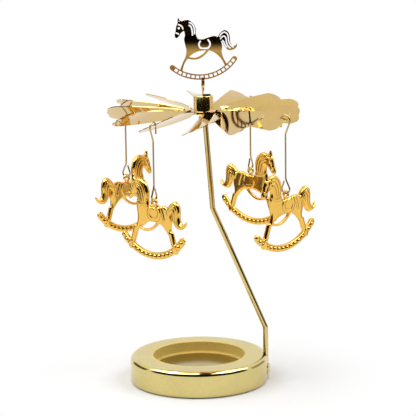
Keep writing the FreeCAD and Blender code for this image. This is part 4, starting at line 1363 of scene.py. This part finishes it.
class CAROUSEL_OT_stage(Operator):
    """Set the floor, lights and camera"""

    bl_idname = "carousel.stage"
    bl_label = "Stage"

    def execute(self, context):
        scene = context.scene
        scene.view_settings.view_transform = "Standard"
        add_camera(context)
        world = bpy.data.worlds.new("studio")
        world.use_nodes = True
        world.node_tree.nodes.clear()
        scene.world = world
        graph = Graph(world.node_tree)
        rays = ("Is Camera Ray", "Is Glossy Ray", "Is Transmission Ray")
        seen = sum((light_path(graph, ray) for ray in rays), start=0)
        strength = SKY_FILL + seen.maths("MINIMUM", seen, 1.0) * (1.0 - SKY_FILL)
        sky = graph.add("ShaderNodeBackground", None, {"Color": WHITE, "Strength": strength})
        graph.add("ShaderNodeOutputWorld", None, {"Surface": sky})
        add_floor()
        add_room()
        for softbox in SOFTBOXES:
            add_softbox(*softbox)
        add_cards()
        return {"FINISHED"}


PIECE_OPERATORS = (
    CAROUSEL_OT_stage,
    CAROUSEL_OT_base,
    CAROUSEL_OT_post,
    CAROUSEL_OT_rotor,
    CAROUSEL_OT_topper,
    CAROUSEL_OT_hangers,
    CAROUSEL_OT_horses,
)


class CAROUSEL_PT_panel(Panel):
    """Buttons for every piece, and the sizes and colours"""

    bl_idname = "CAROUSEL_PT_panel"
    bl_label = "Carousel"
    bl_space_type = "VIEW_3D"
    bl_region_type = "UI"
    bl_category = "Carousel"

    def draw(self, context):
        for operator in PIECE_OPERATORS:
            self.layout.operator(operator.bl_idname)
        for group in (context.scene.carousel_sizes, context.scene.carousel_finish):
            for name in group.bl_rna.properties.keys():
                if name not in {"rna_type", "name"}:
                    self.layout.prop(group, name)


CLASSES = (CarouselSizes, CarouselFinish, *PIECE_OPERATORS, CAROUSEL_PT_panel)


def register():
    for cls in CLASSES:
        bpy.utils.register_class(cls)
    bpy.types.Scene.carousel_sizes = PointerProperty(type=CarouselSizes)
    bpy.types.Scene.carousel_finish = PointerProperty(type=CarouselFinish)


def unregister():
    del bpy.types.Scene.carousel_finish
    del bpy.types.Scene.carousel_sizes
    for cls in reversed(CLASSES):
        bpy.utils.unregister_class(cls)


def main():
    register()
    for operator in PIECE_OPERATORS:
        group, name = operator.bl_idname.split(".")
        getattr(getattr(bpy.ops, group), name)()


if __name__ == "__main__":
    main()
